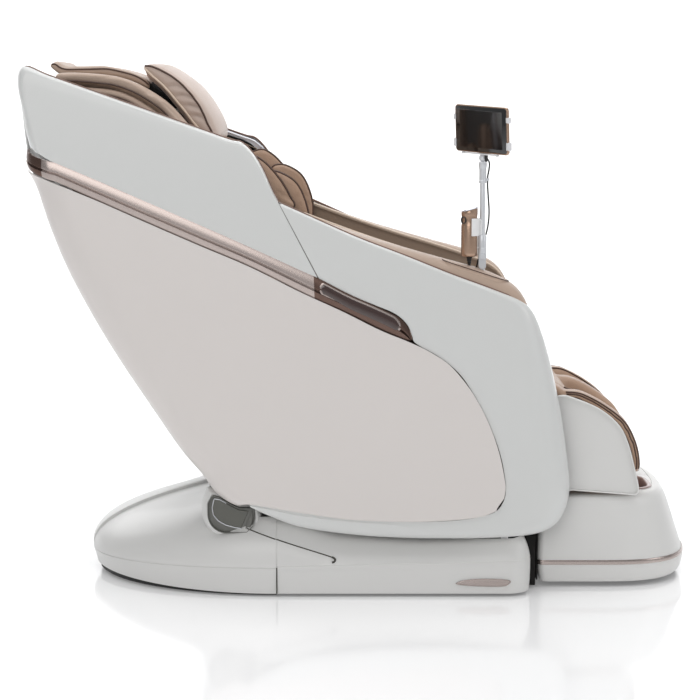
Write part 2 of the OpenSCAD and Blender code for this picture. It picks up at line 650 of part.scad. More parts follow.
// Front of the pads; the walls keep to it and the leg channels are cut behind it
pad_line = [[516, 497], [551, 494], [603, 468], [650, 434], [674, 407], [696, 362], [706, 318], [706, 292]];
channel_back = [[586, 244], [584, 300], [566, 380], [540, 440]];
module calf_pads() {
    front = smooth(pad_line, 20);
    behind = concat([[524, 246], [524, 400], [504, 436]], arc(knee_pivot, 42, 0, 180, 12));
    roll = arc(knee_pivot, knee_r, 180, 48, 14);
    color(leather) {
        both_sides() slab(concat(roll, front, [[694, 280], [672, 246]], behind), 204, 270);
        slab(concat(roll, front, [[694, 280], [672, 246]], behind), -36, 36);
        slab(concat(arc(knee_pivot, knee_r, 180, 18, 16), [for (i = [3 : -1 : 0]) channel_back[i]], behind),
            -204.2, 204.2);
    }
}

// ---------- foot unit ----------

foot_rear = 447;
foot_w = 292;
foot_front = [[13, 826, 9], [30, 837, 3], [57, 840, 0], [109, 824, 0], [187, 798, 2], [218, 782, 6],
    [232, 768, 12]];
function foot_ring(x, inset, z) = let (w = foot_w - inset, r = foot_rear + inset) concat(
    [[r, -w + 34, z], [r + 10, -w + 10, z], [r + 34, -w, z], [600, -w, z]],
    [for (a = [-75 : 15 : 75]) [600 + (x - 600) * pow(cos(a), 0.72), w * sign(a) * pow(abs(sin(a)), 0.72), z]],
    [[600, w, z], [r + 34, w, z], [r + 10, w - 10, z], [r, w - 34, z], [r, 0, z]]);
foot_rings = [for (q = foot_front) foot_ring(q[1], q[2], q[0])];
function turn_grid(rings) = [for (j = [0 : len(rings[0]) - 1]) [for (r = rings) r[j]]];

module foot_shell() {
    color(white) skin(turn_grid(foot_rings), shell_t, 1, true);
    color(dark) difference() {
        union() {
            slab_z(foot_ring(820, 16, 0), 14, 22);
            both_sides() translate([foot_rod[0] - 12, foot_rod[1] - 12, 20]) cube([24, 24, 185]);
        }
        both_sides() translate([foot_rod[0], foot_rod[1], 24]) cylinder(r = 6, h = 200, $fn = 40);
    }
}

module slab_z(ring, z0, z1) {
    translate([0, 0, z0]) linear_extrude(z1 - z0) polygon([for (q = ring) [q[0], q[1]]]);
}

module foot_band() {
    color(bronze) skin(turn_grid([foot_ring(841.6, -1.4, 58), foot_ring(840.2, -1.4, 64),
        foot_ring(838, -1.4, 69)]), 1, 1, true);
}

function well(y0, y1, inset) = concat(arc([590 + inset, y0 + 34 + inset], 34, 270, 180, 1),
    arc([590 + inset, y1 - 34 - inset], 34, 180, 90, 1), arc([672 - inset, y1 - 62 - inset], 62, 90, 0, 2),
    arc([672 - inset, y0 + 62 + inset], 62, 0, -90, 2));
module foot_liner() {
    color([0.5, 0.4, 0.36]) difference() {
        union() {
            both_sides() box([556, 20, 30], [734, 214, 222]);
            slab_z([[470, -262], [650, -262], [742, -190], [752, -80], [752, 80], [742, 190], [650, 262],
                [470, 262]], 212, 222);
        }
        both_sides() box([564, 28, 38], [726, 206, 240]);
        rod_y(roller_at[0], roller_at[1], 6 + run_gap, -240, 240);
        both_sides() translate([foot_rod[0], foot_rod[1], 200]) cylinder(r = 9, h = 40, $fn = 40);
    }
}

roller_at = [640, 72];
module sole_rollers() {
    color([0.3, 0.27, 0.25]) {
        rod_y(roller_at[0], roller_at[1], 6, -222, 222);
        both_sides() for (k = [0 : 3]) rod_y(roller_at[0], roller_at[1], 24, 62 + k * 29, 78 + k * 29);
    }
}

// ---------- tablet arm and handset ----------

post_x = 299;
post_y = -352;
handset_x = 268;
swivel_z = 1006;
ball_z = 1067;

module post_lower() {
    color(silver) {
        on_console() translate([20, 0, -8.9]) cylinder(r = 11.5, h = 8, $fn = 48);
        translate([post_x, post_y, 786]) cylinder(r = 7, h = 40, $fn = 48);
        for (e = [-1, 1]) box([post_x - 9, post_y + e * 9 - 2, 800], [post_x + 9, post_y + e * 9 + 2, 840]);
        rod_y(post_x, 830, 5, post_y - 13, post_y + 13);
        translate([post_x, post_y, 824]) cylinder(r = 10.5, h = 58, $fn = 48);
        translate([post_x, post_y, 882]) cylinder(r = 6.5, h = swivel_z - 882, $fn = 48);
    }
    color(white) {
        difference() {
            union() {
                translate([handset_x, post_y, 880]) cylinder(r = 25, h = 42, $fn = 64);
                box([handset_x + 10, post_y - 8, 882], [post_x - 4, post_y + 8, 920]);
            }
            translate([handset_x, post_y, 860]) cylinder(r = 20.6, h = 90, $fn = 64);
            box([handset_x - 40, post_y - 13, 870], [handset_x, post_y + 13, 930]);
        }
    }
}

module post_upper() {
    color(silver) {
        translate([post_x, post_y, swivel_z + 0.4]) cylinder(r = 8.5, h = 40, $fn = 48);
        translate([post_x, post_y, 1046]) cylinder(r = 10, h = 12, $fn = 48);
        translate([post_x, post_y, 1056]) cylinder(r = 5, h = 6, $fn = 48);
        translate([post_x, post_y, ball_z]) sphere(r = 9, $fn = 48);
        difference() {
            translate([post_x + 12, post_y, 1012]) cylinder(r = 4.5, h = 6, $fn = 32);
            translate([post_x + 12, post_y, 1000]) cylinder(r = 2.05, h = 30, $fn = 32);
        }
    }
}

// Tablet frame: Z up the screen, X out of its back, leaned back and turned to the sitter
tablet_turn = 40;
tablet_lean = -5;
tablet_roll = 3;
module on_tablet() {
    translate([post_x, post_y, ball_z]) rotate([0, 0, tablet_turn]) rotate([0, tablet_lean, 0])
        rotate([tablet_roll, 0, 0]) children();
}

module tablet_case() {
    color(bronze) on_tablet() difference() {
        union() {
            box([-12, -tablet_w / 2, 13], [-4, tablet_w / 2, 13 + tablet_h]);
            box([-4.5, -30, 18], [2, 30, 80]);
            box([-3, -12, 8], [10, 12, 30]);
            translate([-6, -18, 5]) cylinder(r = 4, h = 10, $fn = 32);
        }
        sphere(r = 9.4, $fn = 48);
        box([-12.5, -tablet_w / 2 + 4, 24], [-10, tablet_w / 2 - 4, 10 + tablet_h]);
    }
}

module tablet_glass() {
    color([0.03, 0.03, 0.04]) on_tablet()
        box([-12.3, -tablet_w / 2 + 4.3, 24.3], [-10.2, tablet_w / 2 - 4.3, 9.7 + tablet_h]);
}

// The tablet's lead leaves the post, is clipped at the swivel, and reaches the tablet's plug;
// below, it comes out of the post again and goes down into the console
lead_low = [[307.8, -352, 882], [311, -351.5, 896], [314, -351, 915], [315, -351, 940], [313, -352, 970],
    [311, -352, 998], [311, -352, 1011]];
lead_high = [[311, -352, 1011.2], [311, -352, 1022], [314, -354, 1040], [314, -362, 1056],
    [305.9, -370, 1069]];
lead_down = [[289.5, -352, 823.5], [288.5, -351.5, 816], [286, -348, 804], [285, -346, 792], [285, -346, 720]];
module tablet_lead_low() {
    color([0.05, 0.05, 0.05]) {
        tube(smooth(lead_low, 18), 2);
        tube(smooth(lead_down, 12), 2);
    }
}

module tablet_lead_high() {
    color([0.05, 0.05, 0.05]) tube(smooth(lead_high, 12), 2);
}

module handset_body() {
    color(bronze) difference() {
        translate([handset_x, post_y, 830]) cylinder(r = 20, h = 118, $fn = 64);
        translate([handset_x - 30, post_y, 917]) rotate([0, 90, 0]) cylinder(r = 9, h = 24, $fn = 48);
        translate([handset_x - 20, post_y - 30, 940]) rotate([0, -14, 0]) cube([60, 60, 30]);
    }
    color([0.1, 0.1, 0.1]) translate([handset_x, post_y, 808]) cylinder(r1 = 3, r2 = 7, h = 22, $fn = 40);
}

module handset_cable() {
    color([0.05, 0.05, 0.05]) translate([handset_x, post_y, 660]) cylinder(r = 2, h = 148, $fn = 32);
}

base_plate();
base_feet();
base_rear_cover();
base_front_skirt();
base_accents();
pivot_pocket_covers();
slide_rails();
slide_motor();
lead_screw();
power_box();
power_inlet();
power_rocker();
wheel_mounts();
transport_wheel(1);  // transport_wheel_left
transport_wheel(-1);  // transport_wheel_right
carriage_frame();
pivot_shaft();
seat_frame();
back_frame();
under_pan();
back_cover();
color(white) side_shell(wing_rows, 17);  // wing_left
color(white) mirror([0, 1, 0]) side_shell(wing_rows, 17);  // wing_right
color(white) side_shell(arm_rows, 34);  // arm_shell_left
color(white) mirror([0, 1, 0]) side_shell(arm_rows, 34);  // arm_shell_right
color(ivory) side_shell(panel_rows, 26);  // side_panel_left
color(ivory) mirror([0, 1, 0]) side_shell(panel_rows, 26);  // side_panel_right
trims();
emblem_plates();
arm_deck_left();
arm_deck_right();
arm_walls();
console_tray();
seat_cushion();
back_cushion();
head_flap();
wing_liners();
shoulder_pads();
speakers();
air_pump();
massage_carriage();
massage_motors();
knead_arm(1);  // knead_arm_left
knead_arm(-1);  // knead_arm_right
pillow();
calf_frame();
calf_shells();
calf_pads();
foot_shell();
foot_band();
foot_liner();
sole_rollers();
post_lower();
post_upper();
tablet_case();
tablet_glass();
tablet_lead_low();
tablet_lead_high();
handset_body();
handset_cable();
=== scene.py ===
"""Massage chair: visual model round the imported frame. Lengths are in millimetres until a mesh is made."""
import json
from math import acos, copysign, cos, exp, pi, radians, sin, sqrt

import bpy
import bmesh
import numpy as np
from mathutils import Matrix, Vector
from mathutils.bvhtree import BVHTree
from mathutils.kdtree import KDTree


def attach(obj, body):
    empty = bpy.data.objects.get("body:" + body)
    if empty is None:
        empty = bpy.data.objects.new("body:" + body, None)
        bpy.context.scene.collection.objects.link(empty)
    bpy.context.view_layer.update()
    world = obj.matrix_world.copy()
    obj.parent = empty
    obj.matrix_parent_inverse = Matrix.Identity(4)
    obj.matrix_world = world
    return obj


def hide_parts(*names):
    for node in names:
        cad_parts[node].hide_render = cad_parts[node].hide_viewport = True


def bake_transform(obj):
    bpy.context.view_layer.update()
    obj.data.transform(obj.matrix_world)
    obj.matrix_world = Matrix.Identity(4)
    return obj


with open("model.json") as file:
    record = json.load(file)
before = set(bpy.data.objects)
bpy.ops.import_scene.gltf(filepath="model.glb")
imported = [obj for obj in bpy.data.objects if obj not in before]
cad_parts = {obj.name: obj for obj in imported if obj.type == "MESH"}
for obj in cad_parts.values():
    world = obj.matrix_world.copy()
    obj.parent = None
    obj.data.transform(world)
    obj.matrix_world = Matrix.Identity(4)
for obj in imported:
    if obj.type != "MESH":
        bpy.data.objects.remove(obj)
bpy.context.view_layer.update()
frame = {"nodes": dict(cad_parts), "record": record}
scene = bpy.context.scene
MM = 0.001

# ---------- camera, stage and light ----------

scene.view_settings.view_transform = "Standard"
scene.view_settings.look = "None"

camera = bpy.data.objects.new("camera", bpy.data.cameras.new("camera"))
scene.collection.objects.link(camera)
camera.location = (-0.020, -5.41, 1.20)
camera.rotation_euler = (radians(90 - 6.74), 0, 0)
camera.data.lens = 107.9
camera.data.sensor_width = 36
scene.camera = camera


def feed(made, **values):
    """Sets a node's inputs; an underscore stands for a space in an input's name."""
    for key, value in values.items():
        made.inputs[key.replace("_", " ")].default_value = value


def node(tree, kind, inputs=None, **settings):
    """New node of that kind, with values for its inputs and its own settings."""
    made = tree.nodes.new("ShaderNode" + kind)
    for key, value in settings.items():
        setattr(made, key, value)
    for key, value in (inputs or {}).items():
        made.inputs[key].default_value = value
    return made


def material(name):
    """New node material, with its tree and its shader."""
    mat = bpy.data.materials.new(name)
    mat.use_nodes = True
    return mat, mat.node_tree, mat.node_tree.nodes["Principled BSDF"]


def studio():
    """Floor that curves up into a wall behind the object, in one sheet."""
    line = [(-14, 0.0), (3.5, 0.0)]
    line += [(3.5 + 2.5 * sin(a), 2.5 - 2.5 * cos(a)) for a in np.linspace(0.05, pi / 2, 16)]
    line += [(6.0, 9.0)]
    verts = [(x, y, z) for y, z in line for x in (-16, 16)]
    faces = [(2 * i, 2 * i + 1, 2 * i + 3, 2 * i + 2) for i in range(len(line) - 1)]
    mesh = bpy.data.meshes.new("studio_floor")
    mesh.from_pydata(verts, [], faces)
    mesh.shade_smooth()
    obj = bpy.data.objects.new("studio_floor", mesh)
    scene.collection.objects.link(obj)
    mat, _, shader = material("studio_white")
    feed(shader, Base_Color=(0.93, 0.93, 0.935, 1), Roughness=0.1, Specular_IOR_Level=0.6,
         Emission_Color=(1, 1, 1, 1), Emission_Strength=0.15)
    mesh.materials.append(mat)


studio()

world = bpy.data.worlds.new("studio")
scene.world = world
world.use_nodes = True
feed(world.node_tree.nodes["Background"], Color=(0.97, 0.985, 1.0, 1), Strength=0.34)


def softbox(name, place, aim, size, power, colour=(1, 1, 1)):
    light = bpy.data.lights.new(name, "AREA")
    light.shape = "RECTANGLE"
    light.size, light.size_y = size
    light.energy = power
    light.color = colour
    obj = bpy.data.objects.new(name, light)
    scene.collection.objects.link(obj)
    obj.location = place
    obj.rotation_euler = (Vector(aim) - Vector(place)).to_track_quat("-Z", "Y").to_euler()


softbox("softbox_top", (0.0, -0.2, 4.2), (0, 0.2, 0), (4.5, 4.0), 105)
softbox("softbox_near", (-1.2, -5.4, 2.4), (0, 0, 0.5), (3.4, 2.2), 52, (1, 0.985, 0.97))
softbox("softbox_front", (4.6, -1.6, 2.2), (0.3, 0, 0.5), (2.4, 2.4), 30)
softbox("softbox_back", (-3.2, 3.4, 3.0), (0, 0, 0.7), (3.0, 2.5), 45)
softbox("softbox_wall", (0.0, 2.6, 3.4), (0, 6, 2.2), (9.0, 2.0), 200)

# ---------- materials ----------


def srgb(r, g, b):
    return tuple(((c / 255 + 0.055) / 1.055) ** 2.4 if c > 10 else c / 255 / 12.92 for c in (r, g, b))


def look(name, slot, colour, rough, metal=0.0, coat=0.0, vary=0.03, patch=3.0, rough_vary=0.05, grain="peel",
         bump=0.05, sheen=0.0, fold=0.0):
    """Procedural finish: mottled colour, uneven roughness and a surface grain, in the object's own space, with
    painted shade in creases when fold is set.
    """
    mat, tree, shader = material(name)
    mat["slot"] = slot
    link = tree.links.new
    feed(shader, Metallic=metal, Coat_Weight=coat, Coat_Roughness=0.08, Sheen_Weight=sheen, Sheen_Roughness=0.45)
    space = node(tree, "TexCoord").outputs["Object"]

    broad = node(tree, "TexNoise", {"Scale": patch, "Detail": 4})
    link(space, broad.inputs["Vector"])
    darker, lighter = [(*[min(1, c * k) for c in colour], 1) for k in (1 - vary, 1 + vary)]
    blend = node(tree, "Mix", {"A": darker, "B": lighter}, data_type="RGBA")
    link(broad.outputs["Fac"], blend.inputs["Factor"])
    colour_out = blend.outputs["Result"]
    if fold:
        # Painted shade by the Pointiness: a little darker in creases and hollows, and a little lighter over convex
        # edges
        shape = node(tree, "NewGeometry")
        span = {"From Min": 0.44, "From Max": 0.56, "To Min": 1 - fold, "To Max": 1 + fold * 0.5}
        ramp = node(tree, "MapRange", span, clamp=True)
        link(shape.outputs["Pointiness"], ramp.inputs["Value"])
        tint = node(tree, "VectorMath", operation="SCALE")
        link(colour_out, tint.inputs[0])
        link(ramp.outputs["Result"], tint.inputs["Scale"])
        colour_out = tint.outputs["Vector"]
    link(colour_out, shader.inputs["Base Color"])

    uneven = node(tree, "TexNoise", {"Scale": patch * 7, "Detail": 5})
    link(space, uneven.inputs["Vector"])
    span = {"To Min": max(0.02, rough - rough_vary), "To Max": rough + rough_vary}
    level = node(tree, "MapRange", span, clamp=True)
    link(uneven.outputs["Fac"], level.inputs["Value"])
    link(level.outputs["Result"], shader.inputs["Roughness"])

    if grain == "leather":
        raised = node(tree, "Bump", {"Strength": bump, "Distance": 0.0012})
        pores = node(tree, "TexVoronoi", {"Scale": 430, "Smoothness": 0.6}, feature="SMOOTH_F1")
        warp = node(tree, "TexNoise", {"Scale": 60, "Detail": 6})
        link(space, warp.inputs["Vector"])
        shift = node(tree, "VectorMath", {1: (0.006, 0.006, 0.006)}, operation="MULTIPLY_ADD")
        link(warp.outputs["Color"], shift.inputs[0])
        link(space, shift.inputs[2])
        link(shift.outputs["Vector"], pores.inputs["Vector"])
        height = node(tree, "Math", operation="ADD")
        link(pores.outputs["Distance"], height.inputs[0])
        link(warp.outputs["Fac"], height.inputs[1])
        link(height.outputs["Value"], raised.inputs["Height"])
    else:
        raised = node(tree, "Bump", {"Strength": bump, "Distance": 0.0004})
        fine = node(tree, "TexNoise", {"Detail": 3, "Scale": {"peel": 240, "brushed": 60, "moulded": 900}[grain]})
        spread = node(tree, "Mapping", {"Scale": (0.15, 8, 8) if grain == "brushed" else (1, 1, 1)})
        link(space, spread.inputs["Vector"])
        link(spread.outputs["Vector"], fine.inputs["Vector"])
        link(fine.outputs["Fac"], raised.inputs["Height"])
    link(raised.outputs["Normal"], shader.inputs["Normal"])
    return mat


PEARL = look("pearl_lacquer", "pearl_white", (0.695, 0.703, 0.692), 0.30, coat=0.35, vary=0.012, patch=1.2,
             rough_vary=0.02, bump=0.03)
IVORY = look("ivory_lacquer", "warm_ivory", (0.745, 0.702, 0.678), 0.34, coat=0.25, vary=0.015, patch=1.0,
             rough_vary=0.02, bump=0.03)
BASE = look("base_lacquer", "pearl_white", (0.735, 0.73, 0.715), 0.36, coat=0.12, vary=0.012, patch=1.4,
            rough_vary=0.02, bump=0.03)
BRONZE = look("bronze_trim", "rose_bronze", srgb(180, 168, 163), 0.27, metal=0.9, vary=0.02, patch=2.2,
              rough_vary=0.01, grain="brushed", bump=0.02)
# Darker copy of the bronze, used at the trim strips' rear corners and front ends: painted shade
BRONZE_SHADED = look("bronze_painted_shade", "rose_bronze", srgb(104, 84, 76), 0.24, metal=0.85, vary=0.08, patch=4,
                   grain="brushed", bump=0.05)
EMBLEM = look("emblem_lacquer", "emblem_gloss", srgb(58, 38, 34), 0.09, coat=1.0, vary=0.1, patch=6, bump=0.01)
POCKET = look("pocket_lacquer", "pocket_gloss", srgb(84, 84, 76), 0.13, coat=0.8, vary=0.06, patch=5, bump=0.02)
POCKET_RIM = look("pocket_rim", "pocket_gloss", srgb(112, 112, 107), 0.3, coat=0.2, vary=0.04, patch=6)


def leather(name, slot, colour, rough, **more):
    return look(name, slot, colour, rough, grain="leather", **more)


LEATHER = leather("taupe_leather", "tan_leather", srgb(186, 163, 146), 0.44, vary=0.06, patch=9, bump=0.35,
                  sheen=0.12, fold=0.3)
LEATHER_PALE = leather("pale_leather", "tan_leather", srgb(202, 182, 170), 0.42, vary=0.05, patch=9, bump=0.35,
                       sheen=0.15, fold=0.25)
LEATHER_TAN = leather("tan_leather", "tan_leather", srgb(180, 149, 126), 0.40, vary=0.06, patch=9, bump=0.35,
                      sheen=0.1, fold=0.3)
LEATHER_WALL = leather("brown_leather", "brown_leather", srgb(134, 116, 100), 0.5, vary=0.06, patch=6, bump=0.3,
                       sheen=0.1, fold=0.2)
PIPING = leather("brown_piping", "brown_leather", srgb(84, 62, 52), 0.42, vary=0.1, patch=20, bump=0.3)
PIPING_PALE = leather("pale_piping", "tan_leather", srgb(226, 208, 190), 0.38, vary=0.06, patch=20, bump=0.3)
# Black for the speaker cloth, and as painted shade for the blocks put in dark gaps
CLOTH_AND_SHADE_BLACK = look("black_cloth_and_painted_shade", "black_plastic", srgb(17, 15, 14), 0.85, vary=0.2, patch=30, grain="moulded", bump=0.3)
SEAM_SHADE = look("seam_shadow", "black_plastic", srgb(138, 134, 130), 0.7, vary=0.08, patch=20, grain="moulded", bump=0.1)
MAUVE = look("mauve_liner", "brown_leather", srgb(152, 128, 122), 0.3, coat=0.4, vary=0.05, patch=6, bump=0.05)
SILVER = look("silver_paint", "post_silver", srgb(222, 224, 228), 0.24, metal=0.35, coat=0.3, vary=0.03, patch=12,
              grain="brushed", bump=0.04)
CHROME = look("speaker_chrome", "speaker_chrome", srgb(226, 228, 236), 0.08, metal=1.0, vary=0.02, patch=8, bump=0.01)
SPEAKER = look("speaker_silver", "speaker_chrome", srgb(232, 232, 238), 0.2, metal=0.25, coat=0.6, vary=0.02, patch=8,
               bump=0.01)
HANDSET = look("handset_bronze", "tablet_bronze", srgb(178, 150, 130), 0.24, metal=0.75, vary=0.05, patch=14,
               grain="brushed", bump=0.06)
CABLE = look("cable_sleeve", "cable_black", srgb(26, 25, 26), 0.42, vary=0.15, patch=60, grain="moulded", bump=0.3)
GLASS = look("tablet_screen", "tablet_glass", srgb(20, 15, 14), 0.05, coat=1.0, vary=0.12, patch=9, bump=0.0)
BEZEL = look("tablet_bezel", "tablet_glass", srgb(9, 9, 10), 0.07, coat=1.0, vary=0.05, patch=9, bump=0.0)
GREY = look("grey_shell", "grey_plastic", srgb(120, 118, 116), 0.45, vary=0.06, patch=14, grain="moulded", bump=0.2)

by_slot = {
    "pearl_white": PEARL, "warm_ivory": IVORY, "rose_bronze": BRONZE, "emblem_gloss": EMBLEM,
    "pocket_gloss": POCKET, "tan_leather": LEATHER, "brown_leather": LEATHER_WALL, "speaker_chrome": CHROME,
    "post_silver": SILVER, "tablet_bronze": HANDSET, "tablet_glass": GLASS, "cable_black": CABLE,
    "grey_plastic": GREY,
    "black_steel": look("black_enamel", "black_steel", srgb(24, 23, 22), 0.38, coat=0.2, vary=0.12, patch=10),
    "foot_rubber": look("foot_rubber", "foot_rubber", srgb(30, 30, 30), 0.8, vary=0.15, patch=40, grain="moulded",
                        bump=0.35),
    "zinc_steel": look("zinc_plate", "zinc_steel", srgb(186, 188, 190), 0.34, metal=0.9, vary=0.08, patch=14,
                       rough_vary=0.1, grain="brushed", bump=0.08),
    "motor_paint": look("motor_enamel", "motor_paint", srgb(62, 64, 68), 0.5, vary=0.1, patch=16, bump=0.15),
    "bright_steel": look("ground_steel", "bright_steel", srgb(214, 215, 216), 0.16, metal=1.0, vary=0.04, patch=20,
                         grain="brushed", bump=0.05),
    "black_plastic": look("black_moulding", "black_plastic", srgb(30, 29, 29), 0.55, vary=0.1, patch=24,
                          grain="moulded", bump=0.3),
    "wheel_rubber": look("wheel_rubber", "wheel_rubber", srgb(46, 45, 44), 0.7, vary=0.12, patch=40, grain="moulded",
                         bump=0.35),
}
for name, obj in frame["nodes"].items():
    slot = next(s["material_slot"] for s in frame["record"]["subparts"] if s["node"] == name)
    obj.data.materials.clear()
    obj.data.materials.append(by_slot[slot])

# ---------- curves ----------


def mix(a, b, t):
    """Value at the share t of the way from a to b."""
    return a + (b - a) * t


def along(p, t):
    """Point at t, 0 to 1, on a smooth curve through the rows of p."""
    p = np.asarray(p, float)
    n = len(p) - 1
    s = min(max(t, 0), 1) * n
    i = min(int(s), n - 1)
    u = s - i
    a, b, c, d = p[max(i - 1, 0)], p[i], p[i + 1], p[min(i + 2, n)]
    return (2 * b + (c - a) * u + (2 * a - 5 * b + 4 * c - d) * u * u + (3 * b - a - 3 * c + d) * u ** 3) / 2


def smooth(p, n):
    return np.array([along(p, i / n) for i in range(n + 1)])


def ring(p, n):
    """Closed smooth curve through p, n points."""
    p = [tuple(q) for q in p]
    return smooth(p + [p[0]], n)[:-1]


def even(p, n):
    """n + 1 points evenly spaced along the line p."""
    p = np.asarray(p, float)
    run = np.concatenate([[0], np.cumsum(np.linalg.norm(np.diff(p, axis=0), axis=1))])
    at = np.linspace(0, run[-1], n + 1)
    return np.stack([np.interp(at, run, p[:, k]) for k in range(p.shape[1])], 1)


def arc(c, r, a0, a1, n):
    return np.array([(c[0] + r * cos(a), c[1] + r * sin(a))
                     for a in np.radians(np.linspace(a0, a1, n + 1))])


def offset(p, d, closed=False):
    """The line p moved by d to its left."""
    p = np.asarray(p, float)
    if closed:
        t = np.roll(p, -1, 0) - np.roll(p, 1, 0)
    else:
        t = np.gradient(p, axis=0)
    t /= np.maximum(np.linalg.norm(t, axis=1), 1e-6)[:, None]
    return p + d * np.stack([-t[:, 1], t[:, 0]], 1)


def traced(p, n):
    """Closed outline of n points evenly spaced along the closed line p."""
    return even(p, n)[:-1]


def edged(p, n):
    """Closed outline with each edge of the polygon p in n steps."""
    return np.concatenate([even([p[i], p[(i + 1) % len(p)]], n)[:-1] for i in range(len(p))])


def closed(p):
    return np.concatenate([p, p[:1]])


def across(p, *depths):
    """The X-Z line p at each of the depths along Y."""
    return [[(x, y, z) for x, z in p] for y in depths]


def length(p):
    return np.linalg.norm(np.diff(p, axis=0), axis=1).sum()


def inset(p, d):
    """Closed outline p shrunk by d."""
    p = np.asarray(p, float)
    area = np.sum(p[:, 0] * np.roll(p[:, 1], -1) - np.roll(p[:, 0], -1) * p[:, 1])
    return offset(p, d if area > 0 else -d, closed=True)


# ---------- meshes ----------


def quads(m, n, wrap_m=False, wrap_n=False):
    return [(i * n + j, i * n + (j + 1) % n, (i + 1) % m * n + (j + 1) % n, (i + 1) % m * n + j)
            for i in range(m if wrap_m else m - 1) for j in range(n if wrap_n else n - 1)]


def join(*parts):
    """One form, a pair of points and faces, from several."""
    verts, faces = [], []
    for v, f in parts:
        start = len(verts)
        verts.extend(np.asarray(v, float).tolist())
        faces.extend([tuple(k + start for k in q) for q in f])
    return np.array(verts), faces


def flipped(form):
    """Mirror image on the other side of the chair."""
    v, f = form
    return np.asarray(v) * [1, -1, 1], [tuple(reversed(q)) for q in f]


def both(form):
    return join(form, flipped(form))


def on_side(form, s):
    """The form for the left side, s 1, or its mirror image for the right, s -1."""
    return form if s > 0 else flipped(form)


def moved(form, matrix):
    v, f = form
    m = np.array(matrix)
    return np.asarray(v) @ m[:3, :3].T + m[:3, 3], f


def shell(grid, t, side=1, wrap=False):
    """Wall of thickness t behind a grid of surface points."""
    g = np.asarray(grid, float)
    m, n = g.shape[:2]
    if wrap:
        across = np.roll(g, -1, 0) - np.roll(g, 1, 0)
    else:
        across = g[np.minimum(np.arange(m) + 1, m - 1)] - g[np.maximum(np.arange(m) - 1, 0)]
    down = g[:, np.minimum(np.arange(n) + 1, n - 1)] - g[:, np.maximum(np.arange(n) - 1, 0)]
    normal = np.cross(across, down)
    normal /= np.maximum(np.linalg.norm(normal, axis=2), 1e-6)[:, :, None]
    back = g - normal * t * side
    outer = quads(m, n, wrap_m=wrap)
    inner = [tuple(k + m * n for k in reversed(q)) for q in outer]
    rim = []
    for i in range(m if wrap else m - 1):
        a, b = i * n, (i + 1) % m * n
        rim.append((a, b, b + m * n, a + m * n))
        rim.append((b + n - 1, a + n - 1, a + n - 1 + m * n, b + n - 1 + m * n))
    if not wrap:
        for j in range(n - 1):
            rim.append((j + 1, j, j + m * n, j + 1 + m * n))
            a = (m - 1) * n + j
            rim.append((a, a + 1, a + 1 + m * n, a + m * n))
    return np.concatenate([g.reshape(-1, 3), back.reshape(-1, 3)]), outer + inner + rim


def loft(rings, caps=True):
    """Skin over rings of points, with flat ends if caps."""
    g = np.asarray(rings, float)
    m, n = g.shape[:2]
    faces = quads(m, n, wrap_n=True)
    if caps:
        faces += [tuple(reversed(range(n))), tuple(range((m - 1) * n, m * n))]
    return g.reshape(-1, 3), faces


def stack(outline_at, rows, caps=True):
    """Form from flat outlines: rows of (height, what outline_at takes)."""
    return loft([[(x, y, z) for x, y in outline_at(d)] for z, d in rows], caps)


def tube(route, r, sides=12):
    """Round rod of radius r along the route."""
    p = np.asarray(route, float)
    t = np.gradient(p, axis=0)
    t /= np.maximum(np.linalg.norm(t, axis=1), 1e-9)[:, None]
    side = np.cross(t[0], (0.31, 0.77, 0.55))
    rings = []
    radius = np.broadcast_to(r, len(p))
    for q, d, w in zip(p, t, radius):
        side = side - d * side.dot(d)
        side /= np.linalg.norm(side)
        up = np.cross(d, side)
        rings.append([q + w * (side * cos(a) + up * sin(a))
                      for a in np.linspace(0, 2 * pi, sides, endpoint=False)])
    return loft(rings)


def lathe(profile, sides=48):
    """Turned form about Z from (radius, height) rows."""
    turn = np.linspace(0, 2 * pi, sides, endpoint=False)
    return loft([[(r * cos(a), r * sin(a), z) for a in turn] for r, z in profile])


def slab(outline, y0, y1, edge=2.0, steps=4):
    """Outline in X and Z with thickness along Y and rounded rims."""
    rings = []
    for k in range(steps + 1):
        a = pi / 2 * k / steps
        rings.append((y0 + edge * (1 - sin(a)), edge * (1 - cos(a))))
    rings += [(y0 + y1 - y, d) for y, d in reversed(rings)]
    made = []
    for y, d in rings:
        q = inset(outline, d)
        made.append(np.stack([q[:, 0], np.full(len(q), y), q[:, 1]], 1))
    return loft(made)


def rounded(w, h, r, n=6):
    """Rectangle of w by h with corner radius r, about its middle."""
    x, z = w / 2 - r, h / 2 - r
    corners = (x, z, 0), (-x, z, 90), (-x, -z, 180), (x, -z, 270)
    return np.concatenate([arc((cx, cz), r, a, a + 90, n) for cx, cz, a in corners])


def at(x, y, z, *turns):
    m = Matrix.Translation((x, y, z))
    for axis, angle in turns:
        m = m @ Matrix.Rotation(radians(angle), 4, axis)
    return m


def put(name, form, finish, body, stands_for=(), sharp=32):
    """Mesh object from a form in millimetres, riding body and standing for the CAD nodes named."""
    verts, faces = form
    mesh = bpy.data.meshes.new(name)
    mesh.from_pydata((np.asarray(verts, float) * MM).tolist(), [], faces)
    made = bmesh.new()
    made.from_mesh(mesh)
    bmesh.ops.remove_doubles(made, verts=made.verts, dist=2e-5)
    bmesh.ops.dissolve_degenerate(made, edges=made.edges, dist=1e-6)
    bmesh.ops.recalc_face_normals(made, faces=made.faces)
    made.to_mesh(mesh)
    made.free()
    mesh.shade_smooth()
    mesh.set_sharp_from_angle(angle=radians(sharp))
    mesh.materials.append(finish)
    obj = bpy.data.objects.new(name, mesh)
    scene.collection.objects.link(obj)
    if body:
        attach(obj, body)
    if stands_for:
        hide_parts(*stands_for)
    return obj


